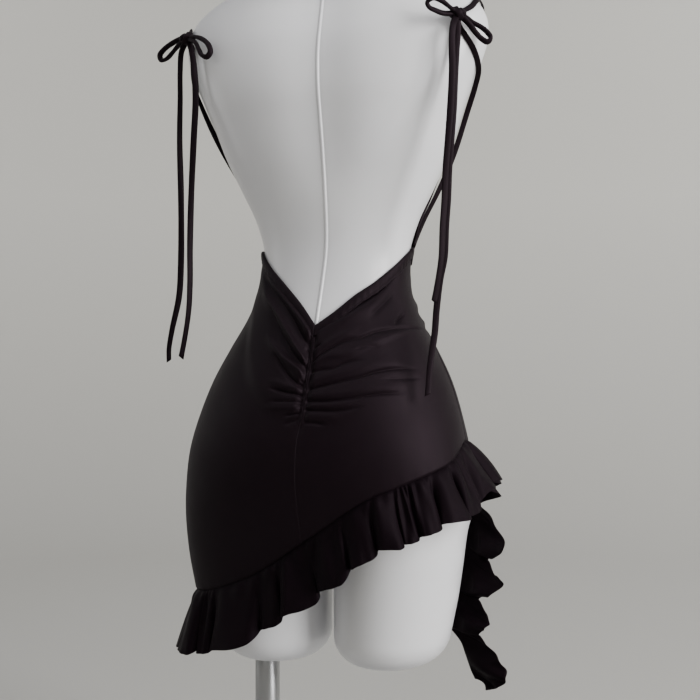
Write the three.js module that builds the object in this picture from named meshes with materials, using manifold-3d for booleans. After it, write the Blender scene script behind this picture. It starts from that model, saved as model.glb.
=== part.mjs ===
// A backless mini dress of dark jersey standing on a limbless display form. Millimetres.
// +Z is up, the front of the dress faces -Y and the wearer's left is +X.
// Angles go round the figure in degrees: 0 wearer's left, 90 back, 180 wearer's right, 270 front.
// The origin is the centre of the base plate's underside.
import * as THREE from 'three';
import Module from 'manifold-3d';

const RAD = Math.PI / 180;

// Cloth, seams and lays, all in mm.
const CLOTH_CLEAR = 1.5;     // air between the form and the jersey
const CLOTH = 1.6;           // wall of the jersey panels
const FRILL = 1.4;           // wall of the ruffles
const BAND = 1.3;            // wall of the edge bands
const BAND_WIDTH = 11.5;     // width of the edge bands
const LAY_GAP = 0.35;        // air between a panel and what is sewn on it
const SEAM = 0.2;            // half the opening left at a seam
const STRAP_WIDTH = 8;
const STRAP_THICK = 2.4;
const TIE_WIDTH = 6.6;
const TIE_THICK = 2.2;
const TIE_STEPS = 22;
const KNOT_RADIUS = 6;
const KNOT_GAP = 0.4;

// The figure: half width, middle, back and front of the section at each height, and its squareness.
const FIGURE = [
  { z: 250, half: 152, mid: 0, back: 80, front: -84, square: 3.0 },
  { z: 300, half: 163, mid: 0, back: 86, front: -90, square: 3.0 },
  { z: 345, half: 172, mid: 0, back: 92, front: -94, square: 3.0 },
  { z: 390, half: 179.5, mid: 2, back: 102, front: -98, square: 2.9 },
  { z: 440, half: 182.5, mid: 5, back: 116, front: -102, square: 2.7 },
  { z: 480, half: 182, mid: 8, back: 124, front: -104, square: 2.5 },
  { z: 520, half: 179, mid: 8, back: 124, front: -105, square: 2.4 },
  { z: 560, half: 170, mid: 4, back: 116, front: -105, square: 2.3 },
  { z: 600, half: 156, mid: 0, back: 102, front: -103, square: 2.2 },
  { z: 640, half: 138, mid: -6, back: 86, front: -100, square: 2.15 },
  { z: 680, half: 118.5, mid: -11, back: 70, front: -95, square: 2.1 },
  { z: 720, half: 103.5, mid: -14, back: 58, front: -90, square: 2.1 },
  { z: 765, half: 96.7, mid: -15, back: 53, front: -86, square: 2.1 },
  { z: 800, half: 104, mid: -13, back: 57, front: -88, square: 2.1 },
  { z: 840, half: 123, mid: -10, back: 66, front: -97, square: 2.15 },
  { z: 880, half: 142, mid: -6, back: 76, front: -108, square: 2.2 },
  { z: 920, half: 157, mid: -2, back: 83, front: -108, square: 2.25 },
  { z: 955, half: 171, mid: 2, back: 87, front: -96, square: 2.3 },
  { z: 990, half: 186.5, mid: 1, back: 84, front: -82, square: 2.3 },
  { z: 1020, half: 195, mid: -1, back: 76, front: -70, square: 2.3 },
  { z: 1045, half: 192, mid: -2, back: 66, front: -61, square: 2.25 },
  { z: 1064, half: 179, mid: -2, back: 58, front: -55, square: 2.2 },
  { z: 1080, half: 156, mid: -1, back: 54, front: -51, square: 2.1 },
  { z: 1094, half: 126, mid: 1, back: 53, front: -48, square: 2.0 },
  { z: 1108, half: 92, mid: 3, back: 54, front: -46, square: 2.0 },
  { z: 1122, half: 66, mid: 6, back: 57, front: -45, square: 2.0 },
  { z: 1140, half: 57, mid: 4, back: 55, front: -48, square: 2.0 },
  { z: 1165, half: 54, mid: 2, back: 54, front: -50, square: 2.0 },
];
const FIGURE_KEYS = ['half', 'mid', 'back', 'front', 'square'];
const BUST = { x: 62, z: 884, width: 50, height: 56, swell: 16, formSwell: 13.5 };

// The low V of the back, as height over degrees from the centre back.
const BACK_V_LEFT = [
  { at: 0, z: 668 }, { at: 10, z: 690 }, { at: 24, z: 713 }, { at: 44.5, z: 739 },
  { at: 71, z: 763 }, { at: 93, z: 766 },
];
const BACK_V_RIGHT = [
  { at: 0, z: 668 }, { at: 12.5, z: 685 }, { at: 25, z: 702 }, { at: 44, z: 721 },
  { at: 59.5, z: 737 }, { at: 81.5, z: 757 }, { at: 93, z: 764 },
];
// The top edge of the front over degrees from the centre front: dip, strap point, armhole, side.
const FRONT_TOP = [
  { at: 0, z: 893 }, { at: 9, z: 896 }, { at: 19, z: 906 }, { at: 29, z: 922 },
  { at: 37.5, z: 938 }, { at: 48, z: 905 }, { at: 57, z: 864 }, { at: 64, z: 820 },
  { at: 70, z: 786 }, { at: 76, z: 769 }, { at: 87, z: 765 },
];
// The seam where the hem ruffle starts, as height over degrees round the figure.
const HEM = [
  { at: -3, z: 337 }, { at: 27.8, z: 340 }, { at: 49, z: 347 }, { at: 62.5, z: 362 },
  { at: 70, z: 373 }, { at: 79.5, z: 391 }, { at: 88, z: 409 }, { at: 97, z: 428 },
  { at: 109, z: 454 }, { at: 117, z: 469 }, { at: 127, z: 481 }, { at: 140, z: 494 },
  { at: 156, z: 507 }, { at: 170, z: 522 }, { at: 183, z: 530 }, { at: 203, z: 522 },
  { at: 225, z: 494 }, { at: 248, z: 455 }, { at: 270, z: 415 }, { at: 292, z: 376 },
  { at: 315, z: 350 }, { at: 335, z: 339 }, { at: 357, z: 337 },
];

// Folds that fan out of the gathered centre-back seam, top to bottom, one row each: height at
// the seam and at the side, rise and reach in degrees, then the rise near the side seam.
const FOLDS_LEFT = [
  { seam: 650, side: 742, rise: 3.4, reach: 52, outer: 1.6 },
  { seam: 634, side: 731, rise: 2.6, reach: 34, outer: 0 },
  { seam: 619, side: 718, rise: 3.4, reach: 32, outer: 1.2 },
  { seam: 605, side: 694, rise: 3.2, reach: 24, outer: 0 },
  { seam: 591, side: 628, rise: 3.6, reach: 28, outer: 0 },
  { seam: 577, side: 585, rise: 3.2, reach: 24, outer: 0 },
  { seam: 564, side: 556, rise: 2.8, reach: 15, outer: 0 },
  { seam: 553, side: 530, rise: 2.0, reach: 12, outer: 0 },
];
const FOLDS_RIGHT = [
  { seam: 647, side: 710, rise: 2.6, reach: 16, outer: 3.0 },
  { seam: 636, side: 688, rise: 3.0, reach: 18, outer: 3.0 },
  { seam: 626, side: 664, rise: 3.0, reach: 18, outer: 3.6 },
  { seam: 611, side: 638, rise: 3.2, reach: 26, outer: 1.2 },
  { seam: 595, side: 617, rise: 3.6, reach: 62, outer: 0 },
  { seam: 579, side: 591, rise: 3.4, reach: 50, outer: 0 },
  { seam: 567, side: 571, rise: 2.8, reach: 22, outer: 0 },
  { seam: 555, side: 548, rise: 2.2, reach: 14, outer: 0 },
];
const BACK_PANELS = {
  left: { name: 'back_left', turn: -1, top: BACK_V_LEFT, folds: FOLDS_LEFT, fan: 3 },
  right: { name: 'back_right', turn: 1, top: BACK_V_RIGHT, folds: FOLDS_RIGHT, fan: 2 },
};
const BACK_COLUMNS = [0, 3, 7, 11.5, 16.5, 22, 28, 34.5, 41, 48, 55.5, 63, 70.5, 78, 85.5, 93];
const BACK_PLAIN_ROWS = 4;
const FRONT_COLUMNS = [0, 7, 14, 21.5, 29.5, 37.5, 43, 48, 53, 58, 64, 70, 76, 82, 87];
const FRONT_ROW_SHARES = [0.035, 0.07, 0.105, 0.14, 0.175, 0.21, 0.26, 0.32, 0.4, 0.49, 0.57,
  0.65, 0.76, 0.88, 1];
const HEM_COLUMNS = [
  ...BACK_COLUMNS.map((at) => 90 + at),
  ...[...FRONT_COLUMNS.slice(1).reverse().map((at) => 270 - at), ...FRONT_COLUMNS.map((at) => 270 + at)],
  ...BACK_COLUMNS.slice().reverse().map((at) => 450 - at),
].filter((at, i, list) => i === 0 || at > list[i - 1]);

// Hem ruffles: degrees they span, number of waves and depth from seam to free edge.
const RUFFLES = [
  { name: 'ruffle_back', from: -3, to: 183, waves: 15, fine: 0.16 },
  { name: 'ruffle_front', from: 183, to: 357, waves: 15, fine: -0.16 },
];
const RUFFLE_SHAPE = [
  { at: -3, depth: 71, flare: 13, wave: 5.5 }, { at: 30, depth: 71, flare: 12, wave: 5.5 },
  { at: 60, depth: 66, flare: 8, wave: 5.5 }, { at: 85, depth: 57, flare: 6, wave: 5.5 },
  { at: 105, depth: 56, flare: 6, wave: 5.5 }, { at: 130, depth: 61, flare: 9, wave: 6 },
  { at: 155, depth: 62, flare: 17, wave: 6 },
  { at: 172, depth: 61, flare: 26, wave: 6 }, { at: 183, depth: 60, flare: 29, wave: 6 },
  { at: 200, depth: 60, flare: 27, wave: 6 }, { at: 225, depth: 63, flare: 15, wave: 6 },
  { at: 270, depth: 63, flare: 9, wave: 5.5 }, { at: 315, depth: 68, flare: 10, wave: 5.5 },
  { at: 340, depth: 71, flare: 13, wave: 5.5 }, { at: 357, depth: 71, flare: 13, wave: 5.5 },
];
const WAVE_STEPS = 4;
const RUFFLE_ROWS = 3;

// The cascade that falls from the right hip: its sewn edge, then its free edge, row by row.
const CASCADE = [
  { x: -146.6, y: -79.4, z: 481, freeX: -150, freeY: -80, freeZ: 471 },
  { x: -147, y: -78, z: 467, freeX: -160, freeY: -76, freeZ: 454 },
  { x: -149, y: -79, z: 453, freeX: -181, freeY: -66, freeZ: 435 },
  { x: -151, y: -80, z: 439, freeX: -199, freeY: -51, freeZ: 416 },
  { x: -152, y: -81, z: 426, freeX: -210, freeY: -40, freeZ: 399 },
  { x: -149, y: -82, z: 411, freeX: -193, freeY: -62, freeZ: 384 },
  { x: -146, y: -84, z: 396, freeX: -178, freeY: -84, freeZ: 376 },
  { x: -142, y: -85, z: 382, freeX: -194, freeY: -58, freeZ: 363 },
  { x: -138, y: -86, z: 368, freeX: -206, freeY: -42, freeZ: 353 },
  { x: -134, y: -86, z: 354, freeX: -184, freeY: -62, freeZ: 334 },
  { x: -130, y: -87, z: 340, freeX: -166, freeY: -86, freeZ: 325 },
  { x: -127, y: -87, z: 326, freeX: -167, freeY: -80, freeZ: 311 },
  { x: -124, y: -88, z: 312, freeX: -148, freeY: -98, freeZ: 293 },
  { x: -122, y: -88, z: 300, freeX: -132, freeY: -104, freeZ: 279 },
  { x: -126, y: -87, z: 290, freeX: -152, freeY: -94, freeZ: 272 },
  { x: -136, y: -84, z: 280, freeX: -182, freeY: -62, freeZ: 272 },
  { x: -145, y: -81, z: 268, freeX: -196, freeY: -52, freeZ: 260 },
  { x: -151, y: -79, z: 255, freeX: -208, freeY: -46, freeZ: 246 },
  { x: -156, y: -77, z: 243, freeX: -208, freeY: -46, freeZ: 232 },
  { x: -160, y: -75, z: 233, freeX: -196, freeY: -52, freeZ: 221 },
  { x: -164, y: -74, z: 225, freeX: -182, freeY: -62, freeZ: 215 },
];
const CASCADE_STEPS = 2;
const CASCADE_ROWS = 3;

// Straps over the figure: height, degrees and how far the tape's middle stands off the figure.
const STRAP_FRONT = [
  { z: 938.5, at: 52.5, off: 4.6 }, { z: 965, at: 50.5, off: 3.2 }, { z: 995, at: 46, off: 2.6 },
  { z: 1022, at: 38, off: 2.6 }, { z: 1042, at: 26, off: 2.6 }, { z: 1055, at: 12, off: 2.8 },
  { z: 1060, at: -2, off: 2.8 }, { z: 1055, at: -14, off: 2.6 }, { z: 1046, at: -23, off: 2.6 },
];
const STRAP_SIDE = [
  { z: 770.6, at: 10.5, off: 4.2 }, { z: 778, at: 14, off: 4.6 }, { z: 806, at: 14.5, off: 9.8 },
  { z: 837, at: 14, off: 11.2 }, { z: 864, at: 14.5, off: 9.0 }, { z: 892, at: 14.5, off: 6.0 },
  { z: 934, at: 13.5, off: 4.5 }, { z: 961, at: 9, off: 4.2 }, { z: 978, at: -1.5, off: 3.6 },
  { z: 995, at: -18, off: 2.8 }, { z: 1009, at: -28, off: 2.4 }, { z: 1020, at: -33, off: 2.4 },
];

// Bows: the knot, then the runs of each loop and each tie after they leave it.
const BOWS = [
  {
    side: 'left', knot: { x: 175.6, y: 52, z: 1031 },
    loops: [
      [{ x: 190.1, y: 47, z: 1036 }, { x: 205.1, y: 41, z: 1038 }, { x: 218.1, y: 38, z: 1030 },
        { x: 224.5, y: 36, z: 1018 }, { x: 216.6, y: 38, z: 1008.5 }, { x: 204.1, y: 41, z: 1013.5 },
        { x: 190.1, y: 45, z: 1026 }],
      [{ x: 162.1, y: 61, z: 1031 }, { x: 150.1, y: 65, z: 1026 }, { x: 140.1, y: 70, z: 1018.5 },
        { x: 132.1, y: 74, z: 1006 }, { x: 138.1, y: 74, z: 998 }, { x: 149.6, y: 70, z: 1004.5 },
        { x: 159.1, y: 63, z: 1022 }],
    ],
    ties: [
      [{ x: 185.6, y: 48, z: 1016 }, { x: 190.4, y: 42, z: 994 }, { x: 192.4, y: 37.8, z: 960 },
        { x: 194.2, y: 35.5, z: 907.5 }, { x: 194.5, y: 31, z: 833 }, { x: 196, y: 28, z: 752.5 },
        { x: 199.8, y: 26, z: 708 }, { x: 209.7, y: 26, z: 665.5 }, { x: 214, y: 26, z: 641 },
        { x: 214, y: 26, z: 626 }],
      [{ x: 167.6, y: 57, z: 1014 }, { x: 162.6, y: 59, z: 988 }, { x: 162.2, y: 56.2, z: 954.5 },
        { x: 166.5, y: 52.8, z: 903 }, { x: 173.7, y: 45, z: 830.5 }, { x: 176.7, y: 42, z: 769 },
        { x: 176.7, y: 42, z: 725 }, { x: 178.6, y: 42, z: 689 }, { x: 183.7, y: 42, z: 656.5 },
        { x: 189.2, y: 42, z: 630 }],
    ],
  },
  {
    side: 'right', knot: { x: -171.9, y: 52, z: 1033 },
    loops: [
      [{ x: -161.9, y: 64, z: 1041 }, { x: -149.9, y: 71, z: 1044.5 }, { x: -138.4, y: 77, z: 1041 },
        { x: -136.9, y: 79, z: 1033 }, { x: -145.9, y: 76, z: 1028 }, { x: -158, y: 66, z: 1029.5 }],
      [{ x: -184.9, y: 46, z: 1034 }, { x: -194.9, y: 40, z: 1027 }, { x: -205.9, y: 35, z: 1016 },
        { x: -209.4, y: 33, z: 1004 }, { x: -201.4, y: 37, z: 1001 }, { x: -191.9, y: 42, z: 1009 },
        { x: -185.9, y: 49, z: 1022 }],
    ],
    ties: [
      [{ x: -172.4, y: 54, z: 1012 }, { x: -171.1, y: 60.5, z: 964 }, { x: -169.8, y: 64.9, z: 915.5 },
        { x: -164.7, y: 65, z: 851 }, { x: -163.3, y: 65, z: 814 }, { x: -160.9, y: 64, z: 784 },
        { x: -159, y: 64, z: 748 }, { x: -153.7, y: 64, z: 721.5 }, { x: -149.5, y: 64, z: 686.5 },
        { x: -148.2, y: 67, z: 660 }, { x: -145, y: 75, z: 624 }, { x: -144, y: 83, z: 588 }],
      [{ x: -169.9, y: 65, z: 1018 }, { x: -169.3, y: 69, z: 1003 }, { x: -169.8, y: 70.6, z: 962.5 },
        { x: -168.2, y: 74, z: 914.5 }, { x: -163.1, y: 74, z: 850 }, { x: -161.4, y: 73, z: 813.5 },
        { x: -159.3, y: 73, z: 783.5 }, { x: -157.4, y: 72, z: 747.5 }, { x: -153.4, y: 72, z: 721 },
        { x: -148.6, y: 72, z: 695.5 }],
    ],
  },
];

// The form and its stand.
const FORM_RINGS = [440, 475, 510, 545, 580, 612, 640, 664, 688, 710, 732, 754, 776, 798, 822, 846,
  868, 888, 910, 942, 974, 1002, 1024, 1043, 1060, 1076, 1091, 1106, 1124, 1165];
const FORM_ANGLES = [0, 14, 28, 42, 58, 74, 90, 106, 122, 138, 152, 166, 180, 194, 207, 218, 228,
  237, 246, 254, 262, 270, 278, 286, 294, 303, 312, 322, 333, 346];
const CROTCH = [{ z: 424, scale: 0.97 }, { z: 406, scale: 0.88 }, { z: 388, scale: 0.7 },
  { z: 374, scale: 0.44 }, { z: 368, scale: 0.2 }];
const THIGH = { gap: 6, depth: 0.93, bottom: 256, round: 34, sides: 22 };
const THIGH_RINGS = [470, 440, 405, 370, 335, 300, 290];
const POLE = { x: 88, y: 0, radius: 15.5, top: 255.65, sides: 24 };
const FOOT = { radius: 34, height: 14, sides: 28 };
const BASE = { width: 400, depth: 340, height: 8, corner: 40 };

const BLACK_JERSEY = new THREE.MeshStandardMaterial({ color: 0x121013, roughness: 0.62 });
const WHITE_FORM = new THREE.MeshStandardMaterial({ color: 0xe9e8ea, roughness: 0.25 });
const POLISHED_STEEL = new THREE.MeshStandardMaterial({
  color: 0xa9abae, roughness: 0.28, metalness: 1,
});
BLACK_JERSEY.name = 'black_jersey';
WHITE_FORM.name = 'white_form';
POLISHED_STEEL.name = 'polished_steel';

const group = new THREE.Group();
group.name = 'backless_mini_dress_on_form';

function addPiece(name, geometry, material) {
  const mesh = new THREE.Mesh(geometry, material.clone());
  mesh.material.name = material.name;
  mesh.name = name;
  group.add(mesh);
}

// Smooth interpolation down a table of rows, by the column `by`.
function readTable(rows, by, keys, at) {
  const last = rows.length - 1;
  const t = Math.min(Math.max(at, rows[0][by]), rows[last][by]);
  let i = 0;
  while (i < last - 1 && t > rows[i + 1][by]) i += 1;
  const slope = (k, key) => {
    const before = k > 0 ? (rows[k][key] - rows[k - 1][key]) / (rows[k][by] - rows[k - 1][by]) : null;
    const after = k < last ? (rows[k + 1][key] - rows[k][key]) / (rows[k + 1][by] - rows[k][by]) : null;
    if (before === null) return after;
    if (after === null) return before;
    const h0 = rows[k][by] - rows[k - 1][by];
    const h1 = rows[k + 1][by] - rows[k][by];
    return (before * h1 + after * h0) / (h0 + h1);
  };
  const h = rows[i + 1][by] - rows[i][by];
  const u = (t - rows[i][by]) / h;
  const out = {};
  for (const key of keys) {
    const a = rows[i][key];
    const b = rows[i + 1][key];
    out[key] = (1 + 2 * u) * (1 - u) ** 2 * a + u * (1 - u) ** 2 * h * slope(i, key)
      + u * u * (3 - 2 * u) * b + u * u * (u - 1) * h * slope(i + 1, key);
  }
  return out;
}

// Straight interpolation, used where an edge turns a corner.
function readEdge(rows, at) {
  const last = rows.length - 1;
  if (at <= rows[0].at) return rows[0].z;
  if (at >= rows[last].at) return rows[last].z;
  let i = 0;
  while (at > rows[i + 1].at) i += 1;
  const u = (at - rows[i].at) / (rows[i + 1].at - rows[i].at);
  return rows[i].z + (rows[i + 1].z - rows[i].z) * u;
}

const smooth = (low, high, value) => {
  const t = Math.min(Math.max((value - low) / (high - low), 0), 1);
  return t * t * (3 - 2 * t);
};

// A point of the figure at a height and an angle.
function figurePoint(z, degrees, swell = BUST.swell) {
  const s = readTable(FIGURE, 'z', FIGURE_KEYS, z);
  const c = Math.cos(degrees * RAD);
  const q = Math.sin(degrees * RAD);
  const k = (Math.abs(c) ** s.square + Math.abs(q) ** s.square) ** (-1 / s.square);
  const x = s.half * c * k;
  let y = s.mid + (q >= 0 ? s.back - s.mid : s.mid - s.front) * q * k;
  if (q < 0) {
    for (const side of [-1, 1]) {
      const dx = (x - side * BUST.x) / BUST.width;
      const dz = (z - BUST.z) / BUST.height;
      y -= swell * Math.exp(-dx * dx - dz * dz);
    }
  }
  return new THREE.Vector3(x, y, z);
}

function figureNormal(z, degrees) {
  const round = figurePoint(z, degrees + 0.3).sub(figurePoint(z, degrees - 0.3));
  const up = figurePoint(z + 1, degrees).sub(figurePoint(z - 1, degrees));
  return round.cross(up).normalize();
}

// A point lifted off the figure, used for everything that lies on it.
function cover(z, degrees, off) {
  return figurePoint(z, degrees).addScaledVector(figureNormal(z, degrees), off);
}

function solidFrom(points, faces) {
  const geometry = new THREE.BufferGeometry();
  const positions = new Float32Array(points.length * 3);
  points.forEach((p, i) => positions.set([p.x, p.y, p.z], i * 3));
  let volume = 0;
  const cross = new THREE.Vector3();
  for (const [a, b, c] of faces) {
    volume += cross.crossVectors(points[a], points[b]).dot(points[c]);
  }
  const facing = volume < 0 ? faces.map(([a, b, c]) => [a, c, b]) : faces;
  geometry.setAttribute('position', new THREE.BufferAttribute(positions, 3));
  geometry.setIndex(facing.flat());
  geometry.computeVertexNormals();
  return geometry;
}

// A cloth wall between an inner and an outer grid of points, closed round its four edges.
function wall(inner, outer) {
  const rows = inner.length;
  const columns = inner[0].length;
  const points = [...inner.flat(), ...outer.flat()];
  const shift = rows * columns;
  const at = (i, j) => i * columns + j;
  const faces = [];
  const quad = (a, b, c, d) => faces.push([a, b, c], [a, c, d]);
  for (let i = 0; i < rows - 1; i += 1) {
    for (let j = 0; j < columns - 1; j += 1) {
      quad(at(i, j), at(i, j + 1), at(i + 1, j + 1), at(i + 1, j));
      quad(shift + at(i, j), shift + at(i + 1, j), shift + at(i + 1, j + 1), shift + at(i, j + 1));
    }
  }
  const rim = (list) => {
    for (let k = 0; k < list.length - 1; k += 1) {
      quad(list[k], shift + list[k], shift + list[k + 1], list[k + 1]);
    }
  };
  const across = [...Array(columns).keys()];
  const down = [...Array(rows).keys()];
  rim(across.map((j) => at(0, j)));
  rim(down.map((i) => at(i, columns - 1)));
  rim(across.map((j) => at(rows - 1, columns - 1 - j)));
  rim(down.map((i) => at(rows - 1 - i, 0)));
  return solidFrom(points, faces);
}

// A flat tape with rounded edges swept along a path; `broad` gives its broad direction.
function tape(path, broad, width, thick) {
  const ring = [[0.5, 0], [0.28, 0.5], [-0.28, 0.5], [-0.5, 0], [-0.28, -0.5], [0.28, -0.5]];
  const points = [];
  const faces = [];
  const last = path.length - 1;
  path.forEach((p, i) => {
    const along = path[Math.min(i + 1, last)].clone().sub(path[Math.max(i - 1, 0)]).normalize();
    const side = broad(i / last).clone();
    side.addScaledVector(along, -side.dot(along)).normalize();
    const face = along.clone().cross(side);
    for (const [u, v] of ring) {
      points.push(p.clone().addScaledVector(side, u * width).addScaledVector(face, v * thick));
    }
  });
  const n = ring.length;
  for (let i = 0; i < last; i += 1) {
    for (let k = 0; k < n; k += 1) {
      const a = i * n + k;
      const b = i * n + ((k + 1) % n);
      faces.push([a, b, b + n], [a, b + n, a + n]);
    }
  }
  for (let k = 1; k < n - 1; k += 1) {
    faces.push([0, k + 1, k], [last * n, last * n + k, last * n + k + 1]);
  }
  return solidFrom(points, faces);
}

// A flat cord of eight sides extruded along a run of points, its broad side turned to `broad`.
function flatCord(nodes, steps, broad, width, thick) {
  const path = new THREE.CatmullRomCurve3(nodes, false, 'centripetal');
  const frames = path.computeFrenetFrames(steps, false);
  const turn = Math.atan2(broad.dot(frames.binormals[0]), broad.dot(frames.normals[0]));
  const section = new THREE.Shape();
  for (let k = 0; k < 8; k += 1) {
    const a = ((k + 0.5) * Math.PI) / 4;
    const u = (Math.sign(Math.cos(a)) * Math.abs(Math.cos(a)) ** 0.6 * width) / 2;
    const v = (Math.sign(Math.sin(a)) * Math.abs(Math.sin(a)) ** 0.6 * thick) / 2;
    const x = u * Math.cos(turn) - v * Math.sin(turn);
    const y = u * Math.sin(turn) + v * Math.cos(turn);
    if (k === 0) section.moveTo(x, y); else section.lineTo(x, y);
  }
  return new THREE.ExtrudeGeometry(section, { steps, extrudePath: path, curveSegments: 1 });
}

function smoothPath(points, steps) {
  return new THREE.CatmullRomCurve3(points, false, 'centripetal').getSpacedPoints(steps);
}

// Rings of equal length joined into a closed solid with flat or domed ends.
function loft(rings) {
  const n = rings[0].length;
  const points = rings.flat();
  const faces = [];
  for (let i = 0; i < rings.length - 1; i += 1) {
    for (let k = 0; k < n; k += 1) {
      const a = i * n + k;
      const b = i * n + ((k + 1) % n);
      faces.push([a, b, b + n], [a, b + n, a + n]);
    }
  }
  const middle = (ring) => ring.reduce((sum, p) => sum.add(p), new THREE.Vector3())
    .multiplyScalar(1 / n);
  const first = points.push(middle(rings[0])) - 1;
  const last = points.push(middle(rings[rings.length - 1])) - 1;
  const top = (rings.length - 1) * n;
  for (let k = 0; k < n; k += 1) {
    const next = (k + 1) % n;
    faces.push([first, next, k], [last, top + k, top + next]);
  }
  return solidFrom(points, faces);
}

// How far down a band reaches: its width, measured square to a sloping edge.
function bandDrop(edgeAt, degrees) {
  const z = edgeAt(degrees);
  const step = figurePoint(z, degrees + 0.5).distanceTo(figurePoint(z, degrees - 0.5));
  const steep = (edgeAt(degrees + 0.5) - edgeAt(degrees - 0.5)) / step;
  return BAND_WIDTH * Math.min(Math.hypot(1, steep), 2.6);
}

// The ruffle seam, straight between the panels' columns so that both cloths meet along it.
function hemAt(degrees) {
  const turn = degrees < 90 ? degrees + 360 : degrees;
  let i = 0;
  while (i < HEM_COLUMNS.length - 2 && turn > HEM_COLUMNS[i + 1]) i += 1;
  const [a, b] = [HEM_COLUMNS[i], HEM_COLUMNS[i + 1]];
  const read = (at) => readTable(HEM, 'at', ['z'], at > 357 ? at - 360 : at).z;
  return read(a) + ((read(b) - read(a)) * (turn - a)) / (b - a);
}

// Back panels: rows run with the folds, columns run down from the V to the ruffle seam.
function backPanel(panel) {
  const inner = [];
  const outer = [];
  const rows = [];
  panel.folds.forEach((fold, k) => {
    const above = k === 0 ? null : panel.folds[k - 1];
    rows.push({ fold, above, ridge: false }, { fold, above, ridge: true });
  });
  const lowest = panel.folds[panel.folds.length - 1];
  const turned = (at) => 1 - (1 - at / 93) ** panel.fan;
  const ridgeAt = (fold, at) => fold.seam + (fold.side - fold.seam) * turned(at);
  const edgeAt = (degrees) => readTable(panel.top, 'at', ['z'], Math.abs(degrees - 90)).z;
  const columns = BACK_COLUMNS.map((at) => {
    const edge = readTable(panel.top, 'at', ['z'], at).z;
    const hem = hemAt(90 + panel.turn * at) + SEAM;
    const below = ridgeAt(lowest, at) - 9;
    const drop = bandDrop(edgeAt, 90 + panel.turn * at);
    const heights = [{ z: edge, rise: 0 }, { z: edge - drop / 2, rise: 0 }, { z: edge - drop, rise: 0 }];
    for (const row of rows) {
      const upper = row.above ? ridgeAt(row.above, at) : edge - drop;
      if (!row.above && !row.ridge) continue;
      const z = row.ridge ? ridgeAt(row.fold, at) : (upper + ridgeAt(row.fold, at)) / 2;
      const pinch = 0.45 + 0.55 * smooth(0, 4, at);
      const near = row.fold.rise * pinch * (1 - smooth(row.fold.reach * 0.35, row.fold.reach, at));
      const far = row.fold.outer * smooth(36, 58, at);
      const free = smooth(drop + 2, drop + 12, edge - z);
      heights.push({ z, rise: row.ridge ? (near + far) * free : 0 });
    }
    for (let k = 0; k <= BACK_PLAIN_ROWS; k += 1) {
      heights.push({ z: below + ((hem - below) * k) / BACK_PLAIN_ROWS, rise: 0 });
    }
    return heights;
  });
  for (let i = 0; i < columns[0].length; i += 1) {
    const innerRow = [];
    const outerRow = [];
    BACK_COLUMNS.forEach((at, j) => {
      const { z, rise } = columns[j][i];
      const degrees = 90 + panel.turn * at;
      for (const [row, off] of [[innerRow, 0], [outerRow, CLOTH]]) {
        const p = cover(z, degrees, CLOTH_CLEAR + rise + off);
        if (j === 0) p.x = -panel.turn * SEAM;
        if (j === BACK_COLUMNS.length - 1) {
          p.addScaledVector(roundward(z, degrees), -panel.turn * SEAM);
        }
        row.push(p);
      }
    });
    inner.push(innerRow);
    outer.push(outerRow);
  }
  addPiece(panel.name, wall(inner, outer), BLACK_JERSEY);
}

// The level direction round the figure, towards larger angles.
function roundward(z, degrees) {
  return figurePoint(z, degrees + 0.3).sub(figurePoint(z, degrees - 0.3)).normalize();
}

// The front: one panel from side seam to side seam.
function frontPanel() {
  const columns = [...FRONT_COLUMNS.slice(1).reverse().map((at) => -at), ...FRONT_COLUMNS];
  const inner = [];
  const outer = [];
  const edgeAt = (degrees) => readEdge(FRONT_TOP, Math.abs(degrees - 270));
  for (const share of [-2, -1, 0, ...FRONT_ROW_SHARES]) {
    const innerRow = [];
    const outerRow = [];
    columns.forEach((at, j) => {
      const degrees = 270 + at;
      const drop = bandDrop(edgeAt, degrees);
      const top = edgeAt(degrees) - drop;
      const hem = hemAt(degrees) + SEAM;
      const z = share < 0 ? top - (drop * share) / 2 : top + (hem - top) * share;
      for (const [row, off] of [[innerRow, 0], [outerRow, CLOTH]]) {
        const p = cover(z, degrees, CLOTH_CLEAR + off);
        if (j === 0) p.addScaledVector(roundward(z, degrees), SEAM);
        if (j === columns.length - 1) p.addScaledVector(roundward(z, degrees), -SEAM);
        row.push(p);
      }
    });
    inner.push(innerRow);
    outer.push(outerRow);
  }
  addPiece('front', wall(inner, outer), BLACK_JERSEY);
}

// A band sewn over a top edge; its lower line stays one width from the edge.
function band(name, columns, edgeAt, cutFirst, cutLast) {
  const off = CLOTH_CLEAR + CLOTH + LAY_GAP;
  const inner = [[], [], []];
  const outer = [[], [], []];
  columns.forEach((degrees, j) => {
    const drop = bandDrop(edgeAt, degrees);
    for (let i = 0; i < 3; i += 1) {
      const at = edgeAt(degrees) - (drop * i) / 2;
      for (const [rows, lift] of [[inner, 0], [outer, BAND]]) {
        const p = cover(at, degrees, off + lift);
        if (j === 0) p.addScaledVector(roundward(at, degrees), cutFirst);
        if (j === columns.length - 1) p.addScaledVector(roundward(at, degrees), -cutLast);
        rows[i].push(p);
      }
    }
  });
  addPiece(name, wall(inner, outer), BLACK_JERSEY);
}

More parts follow.
